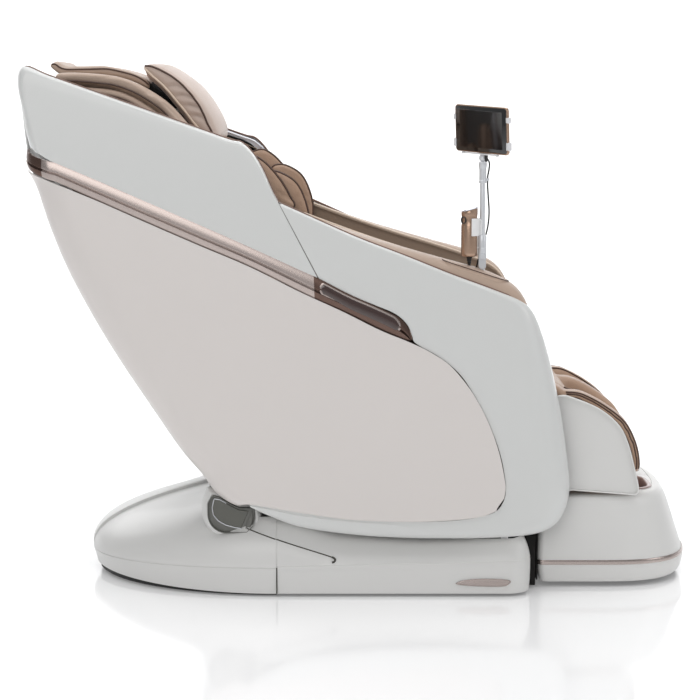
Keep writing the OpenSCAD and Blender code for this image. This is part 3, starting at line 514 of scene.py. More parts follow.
def cast(obj, points, lift=0.0, way=None):
    """The points moved on to the obj's surface: the nearest place, or along the direction way, then out by lift."""
    mesh = obj.data
    tree = BVHTree.FromPolygons([v.co for v in mesh.vertices], [p.vertices for p in mesh.polygons])
    found = []
    for p in np.asarray(points, float) * MM:
        if way is None:
            place, normal, _, _ = tree.find_nearest(Vector(p))
        else:
            place, normal, _, _ = tree.ray_cast(Vector(p), Vector(way))
            if place is None:
                place, normal, _, _ = tree.find_nearest(Vector(p))
            if normal.dot(Vector(way)) > 0:
                normal = -normal
        found.append(np.array(place + normal * lift * MM) / MM)
    return np.array(found)


# ---------- side shells of the pod ----------

POD_HALF, TAPER = 420, 14  # half width of the pod, and how far its ends draw in
WALL = 3.5  # thickness of the covers
ROLL_REACH = 24  # width of the strip that rolls in beside a joint


def side_y(x):
    return POD_HALF - TAPER * ((x + 120) / 700) ** 2


def side_grid(rows, n, roll_in=0.0, grow=0.0):
    """Grid over rows of [inner x, z, outer x, z, edge radius, y of the flange's end].

    roll_in lowers the inner edge, and grow moves it out, away from the outer edge.
    """
    flat, turn, back = 9, 12, 4  # points over the face, round the edge and along the flange
    grid = []
    for i in range(n + 1):
        q = along(rows, i / n)
        a, b, r = q[:2], q[2:4], max(q[4], 1.0)
        w = np.linalg.norm(b - a)
        a = a + (a - b) / w * grow
        w += grow
        reach = r if w > r * 1.05 else w * 0.9
        last = acos(max(-1, min(1, 1 - reach / r)))
        row = []
        for k in range(flat):
            d = mix(w, reach, k / flat)
            e = w - d
            drop = 0 if d >= r else r - sqrt(max(r * r - (r - d) ** 2, 0))
            if e < ROLL_REACH:
                drop += roll_in * (1 - e / ROLL_REACH) ** 2
            p = b + (a - b) * d / w
            row.append((p[0], side_y(p[0]) - drop, p[1]))
        for k in range(turn + 1):
            angle = last * (1 - k / turn)
            d = r * (1 - cos(angle))
            drop = r * (1 - sin(angle))
            p = b + (a - b) * d / w
            row.append((p[0], side_y(p[0]) - drop, p[1]))
        edge = row[-1][1]
        end = min(q[5], edge - 1.5)
        for k in range(1, back + 1):
            row.append((b[0], mix(edge, end, k / back), b[1]))
        grid.append(row)
    return np.array(grid)


wing_rows = [[-778, 1087, -789, 1091, 69, 336], [-758, 1078, -799, 1140, 69, 336],
             [-735, 1064, -807, 1195, 66, 336], [-710, 1053, -812, 1247, 44, 338],
             [-680, 1040, -797, 1284, 24, 345], [-620, 1016, -735, 1261, 12, 352],
             [-500, 964, -560, 1200, 10, 352], [-400, 920, -430, 1154, 10, 352],
             [-320, 885, -312, 1112, 10, 352], [-280, 868, -280, 1104, 10, 352],
             [-245, 852, -252, 1077, 10, 352], [-205, 833, -228, 1038, 10, 360],
             [-150, 808, -206, 990, 10, 370], [-99, 786, -191, 963, 10, 380]]
arm_rows = [[-95, 784, -189, 962, 9, 400], [-20, 745, -100, 922, 9, 400], [40, 720, 0, 878, 9, 400],
            [88, 700, 110, 836, 9, 400], [118, 674, 220, 792, 10, 400], [131, 645, 320, 755, 14, 400],
            [136, 631, 388, 727, 22, 390], [155, 617, 420, 699, 38, 345], [195, 594, 444, 648, 58, 312],
            [245, 553, 465, 582, 72, 306], [283, 497, 484, 504, 80, 306], [318, 430, 500, 420, 80, 306],
            [344, 360, 511, 345, 80, 306], [356, 305, 517, 295, 80, 306], [359, 272, 519, 258, 78, 306],
            [356, 245, 511, 218, 70, 312], [342, 220, 488, 178, 60, 330], [317, 206, 446, 155, 54, 352],
            [268, 196, 390, 147, 50, 360], [196, 190, 290, 143, 45, 362], [100, 189, 120, 144, 42, 362],
            [-20, 194, -20, 154, 38, 362], [-140, 211, -140, 173, 34, 362], [-215, 224, -214, 202, 20, 370],
            [-262, 232, -261, 227, 4, 378]]
panel_rows = [[-779, 1031, -794, 1039, 69, 336], [-735, 1012, -772, 998, 70, 336],
              [-620, 965, -742, 905, 71, 336], [-500, 912, -700, 800, 73, 336], [-380, 860, -640, 684, 75, 336],
              [-260, 809, -575, 575, 77, 336], [-140, 749, -500, 461, 79, 336], [-40, 703, -430, 358, 80, 336],
              [50, 658, -380, 300, 78, 336], [120, 629, -345, 256, 62, 340], [172, 604, -300, 231, 36, 352],
              [220, 571, -258, 235, 9, 405], [262, 522, -140, 216, 5, 410], [292, 474, -20, 199, 5, 412],
              [318, 420, 90, 194, 5, 412], [338, 362, 170, 194, 5, 412], [350, 310, 240, 198, 5, 412],
              [355, 275, 300, 206, 5, 412], [352, 248, 332, 219, 5, 412]]

sides = {"left": 1, "right": -1}
for name, s in sides.items():
    for piece, node_name, grid, finish in (
            ("wing_shell", "wing", side_grid(wing_rows, 78, grow=2.0), PEARL),
            ("arm_shell", "arm_shell", side_grid(arm_rows, 150, roll_in=2.0, grow=2.6), PEARL),
            ("side_panel", "side_panel", side_grid(panel_rows, 150, grow=1.0), IVORY)):
        put(f"{piece}_{name}", on_side(shell(grid, WALL, -1), s), finish, "pod", [f"{node_name}_{name}"], sharp=40)

# Grey cords deep in the gaps between the shells: painted shade of the gaps
arm_edge = np.array([along(arm_rows, t)[:2] for t in np.linspace(0.24, 1, 150)])
gap_shade = tube([(x, side_y(x) - 6.2, z) for x, z in arm_edge], 3.6, 8)
wing_edge = np.array([mix(along(wing_rows, 1)[:2], along(wing_rows, 1)[2:4], t) for t in np.linspace(0, 1, 30)])
gap_shade = join(gap_shade, tube([(x + 1.5, side_y(x) - 5.4, z) for x, z in wing_edge], 3.6, 8))
put("shell_gap_shade", both(gap_shade), SEAM_SHADE, "pod")

# Leather piping just inside the top rim of the wings and arms
rim = [along(wing_rows, t)[2:4] for t in np.linspace(0.26, 1, 80)] + \
      [along(arm_rows, t)[2:4] for t in np.linspace(0, 0.27, 40)]
rim_flange = [along(wing_rows, t)[5] for t in np.linspace(0.26, 1, 80)] + \
             [along(arm_rows, t)[5] for t in np.linspace(0, 0.27, 40)]
rim_line = np.array([(x, y - 2.5, z + 0.6) for (x, z), y in zip(rim, rim_flange)])
rim_cord = leather("rim_cord", "brown_leather", srgb(128, 100, 88), 0.4, patch=20, bump=0.3)
put("rim_piping", both(tube(even(rim_line, 160), 2.3, 10)), rim_cord, "pod")

# ---------- trim strips and plates ----------

trim_rows = [[-722, 1056, -722, 1014], [-620, 1013, -620, 968], [-500, 961, -500, 915],
             [-380, 909, -380, 863], [-260, 856, -260, 812], [-140, 801, -140, 752], [-94, 780, -92, 729],
             [-20, 742, -20, 697], [60, 706, 52, 662], [100, 685, 95, 643], [120, 662, 112, 635],
             [129, 637, 123, 632]]
CORNER = 70  # radius of the strip's rear corner
# Share of the height from the lower edge, and how proud the strip stands there
trim_section = [(-0.03, -4), (-0.025, -1.2), (0.02, -0.4), (0.05, 0.2), (0.2, 1.9), (0.31, 2.7), (0.34, 2.3),
                (0.37, -1.6), (0.41, -2.4), (0.45, -1.8), (0.475, 1.6), (0.5, 2.3), (0.56, 2.5), (0.75, 1.9),
                (0.93, 1.1), (0.99, 0.5), (1.03, 0.1), (1.035, -4)]


def trim_ring(up, low, n):
    rows = [mix(np.array(low), np.array(up), s) + np.array(n) * d for s, d in trim_section]
    return rows + [np.array(up) - np.array(n) * 7, np.array(low) - np.array(n) * 7]


def trim_corner(a):
    centre = (-726, side_y(-726) - CORNER)
    n = (-sin(radians(a)), cos(radians(a)), 0)
    x, y = centre[0] + CORNER * n[0], centre[1] + CORNER * n[1]
    return trim_ring((x, y, mix(1056, 1087, a / 90)), (x, y, mix(1014, 1052, a / 90)), n)


trim_rings = [trim_corner(a) for a in np.linspace(90, 6, 16)]
for t in np.linspace(0, 1, 120):
    q = along(trim_rows, t)
    trim_rings.append(trim_ring((q[0], side_y(q[0]), q[1]), (q[2], side_y(q[2]), q[3]), (0, 1, 0)))
split = 78  # ring where the strip's front end, in the darker bronze as painted shade, starts
# The strips' rear corners and front ends take the darker bronze: painted shade
put("trim_heads", both(loft(trim_rings[:13])), BRONZE_SHADED, "pod", sharp=24)
put("trim_strips", both(loft(trim_rings[12:split + 1])), BRONZE, "pod", ["trims"], sharp=24)
put("trim_ends", both(loft(trim_rings[split:])), BRONZE_SHADED, "pod", sharp=24)

emblem_rows = [[-90, 763, 752], [-84, 769, 742], [-74, 765, 738], [-20, 737, 707], [40, 711, 680], [80, 692, 661],
               [92, 683, 656], [99, 673, 662]]


def plate(grow, lift, dome):
    rings = []
    for t in np.linspace(0, 1, 60):
        x, top, low = along(emblem_rows, t)
        mid, half = (top + low) / 2, abs(top - low) / 2 + grow
        x = x + grow * (1.6 * t - 0.8)
        y = side_y(x) + lift
        crown = [(x, y + dome * cos(a) ** 0.7, mid + half * sin(a)) for a in np.linspace(-1.45, 1.45, 11)]
        rings.append([(x, y - 6, mid - half), (x, y, mid - half), *crown, (x, y, mid + half), (x, y - 6, mid + half)])
    return loft(rings)


put("emblem_plates", both(plate(-2.0, 2.6, 2.2)), EMBLEM, "pod", ["emblem_plates"], sharp=50)
put("emblem_bezels", both(plate(2.2, 1.2, 1.2)), BRONZE, "pod", sharp=30)

# ---------- base covers ----------

BASE_HALF, DOME_X, DOME_A = 397, -200, 487
DOME_RISE, DOME_EASE = 0.63, 0.45  # share of its radius over which the top rises, and how fast
NOTCH, NOTCH_TOP = 9, 62  # half angle and height of the opening over the mains inlet


def dome_point(a, v):
    """Point of the dome at the angle a: v -1 to 0 goes up its wall, and 0 to 1 over its top."""
    c, s = cos(radians(a)), sin(radians(a))
    s2, inner = s * s, min(0.88, 0.37 / max(abs(c), 0.01))
    crease = mix(57, 75, s2)
    notched = abs(a - 180) < NOTCH
    low = NOTCH_TOP if notched else 8 + 15 * c * c
    if v < 0:
        k, z = 1 + v * 0.02, max(low, crease + v * (crease - low))
        if notched:
            z = NOTCH_TOP + 2 * (1 + v)
        if v > -0.05:
            k -= 0.0035
    else:
        k = 1 - (1 - inner) * v ** 2.2
        z = max(crease, low + 4) + mix(160, 240, s2 ** 4) * ((1 - k) / DOME_RISE) ** DOME_EASE
    return DOME_X + DOME_A * k * c, BASE_HALF * k * s, z


turns = np.concatenate([np.linspace(90, 171, 44), [171.2], np.linspace(172, 188, 9), [188.8],
                        np.linspace(189, 270, 44)])
steps = np.concatenate([np.linspace(-1, -0.06, 7), [-0.03, 0.0], np.linspace(0.03, 1, 30)])
dome = put("dome_cover", shell([[dome_point(a, v) for v in steps] for a in turns], WALL, -1), BASE, "base",
           ["base_rear_cover"], sharp=26)

# Black shell under the raised rear edge of the dome: a real dark base part, and also painted shade in the undercut
# beneath the edge
shade_plinth = []
for a in np.concatenate([np.linspace(90, 170, 50), np.linspace(190, 270, 50)]):
    c, w = cos(radians(a)), sin(radians(a))
    shade_plinth.append([(DOME_X + DOME_A * k * c, BASE_HALF * k * w, z)
                   for k, z in ((0.93, 4), (0.955, 4), (0.965, 7), (0.967, 13 + 14 * c * c))])
for name, rows in (("left", shade_plinth[:50]), ("right", shade_plinth[50:])):
    put(f"plinth_{name}", shell(rows, 2, -1), by_slot["black_plastic"], "base", sharp=40)


def pocket_outline(grow):
    lower = [(-256 + grow, 214 + grow), (-254 + grow, 190), (-258 + grow, 172 - grow), (-272, 157 - grow)]
    turn = [tuple(q) for q in arc((-322, 199), 44 + grow, 275, 180, 12)]
    upper = [(-366 - grow, 226), (-354 - grow, 245 + grow), (-338, 240 + grow), (-315, 226 + grow),
             (-290, 214 + grow)]
    return traced(lower + turn + upper + lower[:1], 120)


def applied(obj):
    """Mesh of obj with its modifiers, which then go."""
    bpy.context.view_layer.update()
    made = bpy.data.meshes.new_from_object(obj.evaluated_get(bpy.context.evaluated_depsgraph_get()))
    obj.modifiers.clear()
    return made


def cut(obj, form):
    """Takes the form away from obj."""
    tool = put("cutter", form, obj.data.materials[0], None)
    mod = obj.modifiers.new("cut", "BOOLEAN")
    mod.operation, mod.solver, mod.object = "DIFFERENCE", "EXACT", tool
    obj.data = applied(obj)
    bpy.data.objects.remove(tool)


OUTSIDE, INWARD = 460, (0, -1, 0)  # Y beyond the covers, and the way from there to them

# Collar of the recess over the tilt pivot, from the dome's surface down to the recessed face
recess = pocket_outline(1.3)
surface = cast(dome, across(recess, OUTSIDE)[0], 0, INWARD)
reach = [max(q[1], 372) if abs(q[0] - x) + abs(q[2] - z) < 1 else 372 for q, (x, z) in zip(surface, recess)]
cut(dome, both(slab(pocket_outline(1.5), 300, 420, 0.1)))
collar = [[(x, mix(y + 0.4, 338, k / 5), z) for k in range(6)] for (x, z), y in zip(recess, reach)]

FRONT_X, CORNER_PLAN = 424, 60  # front of the skirt, and the radius of its corners in plan


def skirt_top(x):
    """Top of the skirt: it follows the underside of the pod."""
    return float(np.interp(x, (-200, -140, -80, -20, 120, 290, 390, 424), (180, 164, 154, 147, 138, 137.5, 141, 146)))


def skirt_crease(x):
    return mix(75, 89, min(max((x + 200) / 620, 0), 1))


# Half of the skirt's plan: x, y and the outward direction
half = [(x, BASE_HALF, 0, 1)
        for x in (-200.2, -195, -185, -165, -140, -110, -80, -50, -20, 20, 60, 110, 160, 210, 260, 310)]
half += [(FRONT_X - CORNER_PLAN + CORNER_PLAN * cos(a), BASE_HALF - CORNER_PLAN + CORNER_PLAN * sin(a),
          cos(a), sin(a)) for a in np.radians(np.linspace(90, 0, 13))]
half += [(FRONT_X, y, 1, 0) for y in (280, 190, 100, 40)]
plan = half + [(x, -y, nx, -ny) for x, y, nx, ny in reversed(half)]
skirt_grid = []
for x, y, nx, ny in plan:
    c, t = skirt_crease(x), skirt_top(x)
    wall = [(4, 8), (2.4, 16), (1, 34), (0.2, mix(34, c, 0.6)), (0, c - 4), (1.2, c - 1.5), (1.4, c), (0.4, c + 1.5)]
    deep = mix(50, 20, min(max((x - 200) / 220, 0), 1))
    slope = smooth([(0.4, c + 1.5), (deep * 0.24, mix(c, t, 0.38)), (deep * 0.6, mix(c, t, 0.75)), (deep, t)], 16)[1:]
    dome_share = 1 - min(max((x + 200) / 150, 0), 1)
    dome_share = dome_share ** 2 * (3 - 2 * dome_share)
    dome_top = 75 + 240 * (slope[:, 0] / BASE_HALF / DOME_RISE) ** DOME_EASE
    slope[:, 1] = mix(slope[:, 1], dome_top, dome_share)
    skirt_grid.append([(x - nx * d, y - ny * d, z) for d, z in wall + [tuple(q) for q in slope]])
skirt = put("front_skirt", shell(skirt_grid, WALL, -1), BASE, "base", ["base_front_skirt"], sharp=30)

# Vertical seam between the two covers, and the parting line that ends in a small hook
route = [(-273, 165), (-240, 154), (-200, 141), (-150, 125), (-110, 112.5), (-80, 103), (-64, 98)]
flat = even(route, 60)
line = np.array([cast(dome if x < -199 else skirt, [(x, OUTSIDE, z)], 0.1, INWARD)[0] for x, z in flat])
hook = [(-64, 98), (-58, 95), (-56, 91), (-59, 87), (-64, 86)]
hook = cast(skirt, across(smooth(hook, 12), OUTSIDE)[0], 0.4, INWARD)
seams = join(tube(line, 1.5, 8), tube(hook, 2.6, 8),
             tube([(-198.5, BASE_HALF + 0.4 - max(0, 30 - z) / 12, z) for z in np.linspace(9, 73, 12)], 1.7, 8))
# Black block in the gap between the base and the foot unit: painted shade
put("base_gap_shade", loft([[(x, y, z + 72) for y, z in rounded(600, 132, 8)] for x in (416, 440)]), CLOTH_AND_SHADE_BLACK, "base")
put("base_seams", both(seams), look("dark_seam", "black_plastic", srgb(70, 68, 62), 0.6, grain="moulded"), "base")

lozenge = ring([(237, 34), (252, 30), (300, 27), (352, 27), (368, 33), (371, 41), (350, 45), (300, 46), (255, 42)],
               80)
put("base_inlays", both(slab(lozenge, 395.5, 399.4, 1.4)), BRONZE, "base", ["base_accents"], sharp=50)

# Recess over the tilt pivot: a raised rim, a grey plate, a dark glossy face with a silver line, and a facet
around = loft([[(x, y, z) for x, z in pocket_outline(d)] for d, y in
               ((1.2, 352), (1.6, 359), (3, 361), (8, 359), (13, 351), (18, 334))], caps=False)
put("pocket_surrounds", both(around), BASE, "base")
put("pocket_collars", both(shell(collar, 1.3, -1, True)), POCKET_RIM, "base", sharp=50)
put("pocket_plates", both(slab(pocket_outline(0.2), 358, 363, 1)), POCKET_RIM, "base", ["pivot_pocket_covers"],
    sharp=50)
pocket_face = traced([(-286, 164), (-300, 166), (-322, 172), (-342, 183), (-354, 198), (-357, 216), (-352, 238),
                      (-338, 236), (-314, 222), (-290, 210), (-268, 207), (-286, 164)], 66)
facet = traced([(-277, 163), (-268, 161), (-260, 175), (-257, 190), (-258, 207), (-261, 206), (-277, 163)], 40)
put("pocket_faces", both(slab(pocket_face, 362, 365.4, 1.2)), POCKET, "base")
put("pocket_facets", both(slab(facet, 362, 366, 1.2)), POCKET_RIM, "base")
silver_line = [(x, 365.3, z) for x, z in pocket_face[:40]]
put("pocket_lines", both(tube(silver_line, 1.25, 8)), SILVER, "base")

# ---------- back of the pod ----------

back_line = [[-384, 306], [-457, 403], [-579, 581], [-676, 751], [-749, 933], [-789, 1060], [-803, 1164],
             [-811, 1240]]
back_grid = []
for t in np.linspace(0, 1, 70):
    q = along(back_line, t)
    back_grid.append([(q[0] - 18 * (1 - (y / 333) ** 2) * min(1, 0.4 + 16 * t / 10), y, q[1])
                      for y in np.linspace(-333, 333, 41)])
put("back_cover", shell(back_grid, WALL, -1), PEARL, "pod", ["back_cover"], sharp=40)

# ---------- armrests ----------

deck_rows = [[-138, 937, 0, 46], [-60, 903, 6, 46], [30, 867, 12, 46], [120, 832, 20, 46],
             [200, 800, 29, 46], [290, 768, 36, 46], [345, 745, 37, 46], [380, 729, 31, 44], [403, 712, 18, 40],
             [414, 694, 2, 34]]
DECK_Y = 352  # middle of an armrest
deck_section = smooth([(-1, -1), (-1, -0.2), (-0.98, 0.5), (-0.78, 0.92), (-0.3, 1.05), (0.2, 1.03), (0.65, 0.84),
                       (0.9, 0.5), (1, 0.02), (1, -1)], 36)


def deck():
    rings = []
    for t in np.linspace(0, 1, 90):
        x, z, crown, wide = along(deck_rows, t)
        rings.append([(x, DECK_Y + a * wide, z + (mix(-4, -46, min(1, -h)) if h < 0 else crown * h - 4))
                      for a, h in deck_section])
    return loft(rings)


for name, s in sides.items():
    put(f"arm_deck_{name}", on_side(deck(), s), LEATHER, "pod", [f"arm_deck_{name}"], sharp=50)

wall_outline = edged([(-215, 300), (395, 300), (452, 330), (470, 420), (462, 520), (440, 600), (414, 668), (403, 710),
                      (380, 744), (345, 767), (290, 789), (200, 818), (120, 842), (30, 871), (-60, 903), (-132, 930),
                      (-170, 800), (-215, 600)], 4)
put("arm_walls", both(slab(wall_outline, 296.5, 305.5, 4)), LEATHER_WALL, "pod", ["arm_walls"], sharp=50)
wall_top = smooth([(440, 600), (414, 668), (403, 710), (380, 744), (345, 767), (290, 789), (200, 818), (120, 842),
                   (30, 871), (-60, 903), (-132, 930)], 90)
put("arm_wall_piping", both(tube([(x, 302, z + 1.5) for x, z in wall_top], 3.0, 10)), PIPING_PALE, "pod")

ON_CONSOLE = at(280, -DECK_Y, 797, ("Y", 18))
HX, HY = 268, -DECK_Y  # axis of the handset and its guide tube


def oval(r, half=48, n=24):
    return np.concatenate([arc((half, 0), r, -90, 90, n), arc((-half, 0), r, 90, 270, n)])


# Console: a shallow oval dish with a thin dark line round it
dish = stack(oval, [(-12.4, 38.4), (0.6, 38.4), (1.6, 37.6), (1.8, 36.4), (1.2, 35.4), (-0.6, 34.6), (-3.4, 33.6),
                    (-4.6, 31.5), (-5, 26), (-5.2, 10)])
put("console_dish", moved(dish, ON_CONSOLE), LEATHER, "pod", ["console_tray"], sharp=50)
line = [(x, y, 1.2) for x, y in closed(oval(38.9))]
put("console_line", moved(tube(line, 1.2, 8), ON_CONSOLE), PIPING, "pod")
guide = join(tube([(HX, HY, z) for z in np.linspace(640, 788, 6)], 6.2, 20),
             moved(lathe([(3.2, -6), (9.5, -6), (10, -4), (9, -1.5), (5, -0.4), (3.2, -1)]), at(HX, HY, 797)))
put("handset_grommet", guide, by_slot["black_plastic"], "pod")

# ---------- upholstery ----------


def inflate(obj, cap, voxel, pressure=4.0, smoothing=4):
    """Fills obj with air as cloth, keeping each point within cap of its start."""
    mod = obj.modifiers.new("remesh", "REMESH")
    mod.mode, mod.voxel_size = "VOXEL", voxel * MM
    made = applied(obj)
    finish = obj.data.materials[0]
    obj.data = made
    made.materials.clear()
    made.materials.append(finish)
    bm = bmesh.new()
    bm.from_mesh(made)
    for _ in range(smoothing):
        bmesh.ops.smooth_vert(bm, verts=bm.verts, factor=0.5, use_axis_x=True, use_axis_y=True, use_axis_z=True)
    bm.to_mesh(made)
    bm.free()
    start = np.empty(len(made.vertices) * 3)
    made.vertices.foreach_get("co", start)
    start = start.reshape(-1, 3)
    cloth = obj.modifiers.new("air", "CLOTH")
    cloth.settings.use_pressure = True
    cloth.settings.uniform_pressure_force = pressure
    cloth.settings.effector_weights.gravity = 0
    cloth.settings.quality = 4
    cloth.settings.tension_stiffness = 12
    cloth.settings.compression_stiffness = 12
    cloth.settings.bending_stiffness = 0.6
    cloth.point_cache.frame_start, cloth.point_cache.frame_end = 1, 20
    for f in range(1, 21):
        scene.frame_set(f)
    blown = obj.evaluated_get(bpy.context.evaluated_depsgraph_get()).data
    end = np.empty(len(blown.vertices) * 3)
    blown.vertices.foreach_get("co", end)
    obj.modifiers.clear()
    scene.frame_set(1)
    move = end.reshape(-1, 3) - start
    move -= move.mean(0)
    far = np.linalg.norm(move, axis=1)
    limit = cap * MM
    move *= (limit * np.tanh(far / limit) / np.maximum(far, 1e-9))[:, None]
    made.vertices.foreach_set("co", (start + move).ravel())
    made.update()
    made.shade_smooth()


def sew(obj, lines, depth, width):
    """Presses channels of that depth and half width into obj along lines."""
    points = np.concatenate([even(p, max(2, int(length(p) / 3))) for p in lines])
    tree = KDTree(len(points))
    for i, p in enumerate(points):
        tree.insert(Vector(p * MM), i)
    tree.balance()
    mesh = obj.data
    shift = []
    for v in mesh.vertices:
        d = tree.find(v.co)[2] / MM
        if d < width * 3:
            shift.append((v.index, v.co - v.normal * depth * MM * exp(-(d / width) ** 2)))
    for i, co in shift:
        mesh.vertices[i].co = co
    mesh.update()


def refine(obj):
    """One subdivision, applied."""
    mod = obj.modifiers.new("finer", "SUBSURF")
    mod.levels = mod.render_levels = 1
    obj.data = applied(obj)
    obj.data.shade_smooth()


def piping(name, obj, lines, r, finish, body, sink=0.3):
    """Sewn cords that lie on obj along lines."""
    parts = []
    for p in lines:
        q = cast(obj, even(p, max(8, int(length(p) / 6))), r * (1 - 2 * sink))
        q[1:-1] = (q[:-2] + 2 * q[1:-1] + q[2:]) / 4
        parts.append(tube(q, r, 8))
    return put(name, join(*parts), finish, body)


def cushion(name, form, finish, body, stands_for, fill, channels=(), **air):
    """Pad filled with air, refined, and sewn along channels of (lines, depth, half width)."""
    obj = put(name, form, finish, body, stands_for)
    inflate(obj, **air)
    refine(obj)
    for lines, depth, width in channels:
        sew(obj, lines, depth, width)
    return obj


def section_pad(outline, y0, y1, edge, n=30):
    """Closed form of an X-Z outline, or of outline(y), from y0 to y1; the rims round off over edge."""
    rings = []
    mid, half = (y0 + y1) / 2, (y1 - y0) / 2
    for t in np.linspace(-1, 1, n + 1):
        y = mid + half * sin(t * pi / 2)
        d = max(0, edge - (half - abs(y - mid)))
        shrink = edge - sqrt(max(edge * edge - d * d, 0))
        q = inset(outline(y) if callable(outline) else outline, min(shrink, edge * 0.92))
        rings.append(np.stack([q[:, 0], np.full(len(q), y), q[:, 1]], 1))
    return loft(rings)


KNEE, KNEE_R = (460, 440), 78  # axis of the leg rest's hinge, and radius of the pad round it

# Seat cushion: raised sides, a shallow dish in the middle, and sewn channels
seat_top = [[-128, 436], [-40, 430], [80, 438], [220, 462], [320, 488], [365, 500], [388, 499]]
seat_line = smooth(seat_top, 40)
seat_rest = np.concatenate([arc(KNEE, KNEE_R + 5, 139, 200, 10), even([(372, 372), (360, 330)], 3),
                            even([(330, 324), (-100, 322)], 14), even([(-120, 332), (-128, 400)], 4)])


def seat_outline(y):
    lift = 16 * min(1, max(0, (abs(y) - 150) / 60)) ** 2 - 5 * (1 - min(1, abs(y) / 150) ** 2)
    top = seat_line.copy()
    top[:, 1] += (lift - 6) * np.sin(np.clip(np.linspace(0.05, 1.25, len(top)), 0, 1) * pi / 2)
    return inset(np.concatenate([top, seat_rest]), 5)


seat_seams = [[(x, s * 172, along(seat_top, (x + 128) / 516)[1] + 6) for x in np.linspace(-110, 380, 40)]
              for s in (-1, 1)]
seat_cross = [[(x, y, along(seat_top, (x + 128) / 516)[1] - 4) for y in np.linspace(-165, 165, 30)]
              for x in (40, 150, 260)]
seat = cushion("seat_cushion", section_pad(seat_outline, -258, 258, 26), LEATHER, "pod", ["seat_cushion"], 0.75,
               [(seat_seams, 9, 9), (seat_cross, 6, 10)], cap=9, voxel=8)
piping("seat_piping", seat, seat_seams, 2.6, PIPING, "pod")

# Back cushion: a quilted pad over a thinner backing pad, with a black slab behind them at the top as painted shade
back_front = [[-124, 446], [-250, 778], [-360, 1040], [-448, 1165], [-512, 1219], [-586, 1252], [-684, 1262],
              [-746, 1262]]
back_curve = smooth(back_front, 60)


def band(t0, t1, c0, c1):
    """Outline between two depths behind the face of the back, along part of its length."""
    part = even(smooth(back_front, 90)[int(90 * t0):int(90 * t1) + 1], 70)
    return np.concatenate([offset(part, c0), offset(part, c1)[::-1]])


def back_outline(y):
    lift = 7 * min(1, max(0, (abs(y) - 145) / 50)) ** 2 - 3 * (1 - min(1, abs(y) / 140) ** 2)
    part = even(back_curve, 80)
    face = offset(part, 3 - lift)
    return np.concatenate([face, offset(part, 21)[::-1]])


line = even(back_curve, 100)
back_seams = across(line[4:96], -150, 150)
back_cross = [[(p[0], y, p[1]) for y in np.linspace(-144, 144, 26)] for p in line[12:96:9]]
back = cushion("back_cushion", section_pad(back_outline, -250, 250, 9), LEATHER, "pod", ["back_cushion"], 0.6,
               [(back_seams, 8, 8), (back_cross, 5, 9)], pressure=3, cap=7, voxel=6.5, smoothing=3)
piping("back_seam_piping", back, back_seams, 2.4, PIPING, "pod")
piping("back_edge_piping", back, across(offset(line, 16), -252, 252), 2.6, PIPING, "pod")
backing = put("back_backing_pad", section_pad(band(0, 1, 25, 44), -247, 247, 9, 24), LEATHER, "pod")
put("back_backing_piping", both(tube(across(even(offset(line, 40), 120), 246.5)[0], 2.4, 8)), PIPING, "pod")
# Black slab behind the top of the back cushion: painted shade
put("back_gap_shade", slab(band(0.46, 1, 45, 112), -246, 246, 3), CLOTH_AND_SHADE_BLACK, "pod")

# Loose cover folded over the top of the back, with a curled rear hem
flap_low = [[-520, 1229], [-586, 1257], [-684, 1269], [-738, 1272], [-756, 1281]]
flap_high = [[-767, 1290], [-762, 1299], [-749, 1298], [-728, 1286], [-675, 1285], [-620, 1284], [-549, 1265],
             [-516, 1242]]
flap_outline = np.concatenate([smooth(flap_low, 20), smooth(flap_high, 30)])
flap = cushion("head_flap", section_pad(flap_outline, -168, 168, 7, 26), LEATHER, "pod", ["head_flap"], 0.3,
               pressure=3, cap=4, voxel=5, smoothing=2)
piping("head_flap_piping", flap, across(smooth(flap_high, 40)[4:], -170, 170), 2.2, PIPING, "pod")

# Black slab as painted shade in the space between the head flap, the back cushion and the pillow
dark = traced([(-552, 1258), (-524, 1254), (-494, 1222), (-452, 1170), (-470, 1158), (-514, 1210), (-552, 1246),
               (-552, 1258)], 80)
put("flap_shadow_pad", slab(dark, -150, 150, 3), CLOTH_AND_SHADE_BLACK, "pod")

# Pillow: its face bulges forward of the side seams, and its ends are ribbed
pillow_front = smooth([(-534, 1295), (-505, 1298), (-463, 1284), (-400, 1238), (-355, 1176), (-329, 1110)], 40)
pillow_side = smooth([(-533, 1294), (-505, 1290), (-445, 1254), (-395, 1197), (-363, 1134), (-346, 1102)], 40)
pillow_rear = smooth([(-346, 1092), (-398, 1128), (-440, 1180), (-484, 1232), (-516, 1260), (-536, 1284)], 40)


def pillow_outline(y):
    t = 1 - min(1, abs(y) / 190) ** 2.6
    return np.concatenate([mix(pillow_side, pillow_front, t), mix(pillow_rear - [6, 0], pillow_rear, t)])


rib_ends = (-486, 1234, -424, 1236), (-468, 1211, -404, 1211), (-450, 1187, -388, 1186), (-430, 1162, -376, 1160)
ribs = [[(x, s * 188, z) for x, z in [(a, b), ((a + c) / 2, (b + d) / 2 + 5), (c, d)]]
        for s in (-1, 1) for a, b, c, d in rib_ends]
pillow = cushion("pillow", section_pad(lambda y: inset(pillow_outline(y), 3), -186, 186, 16, 34), LEATHER_PALE,
                 "pillow", ["pillow"], 0.8, [(ribs, 8, 6.5)], cap=6, voxel=5.5)
piping("pillow_side_piping", pillow, across(pillow_side[1:], -184, 184), 2.6, PIPING, "pillow")
piping("pillow_rear_piping", pillow, across(pillow_rear[2:-2], -186, 186), 2.8, PIPING_PALE, "pillow")

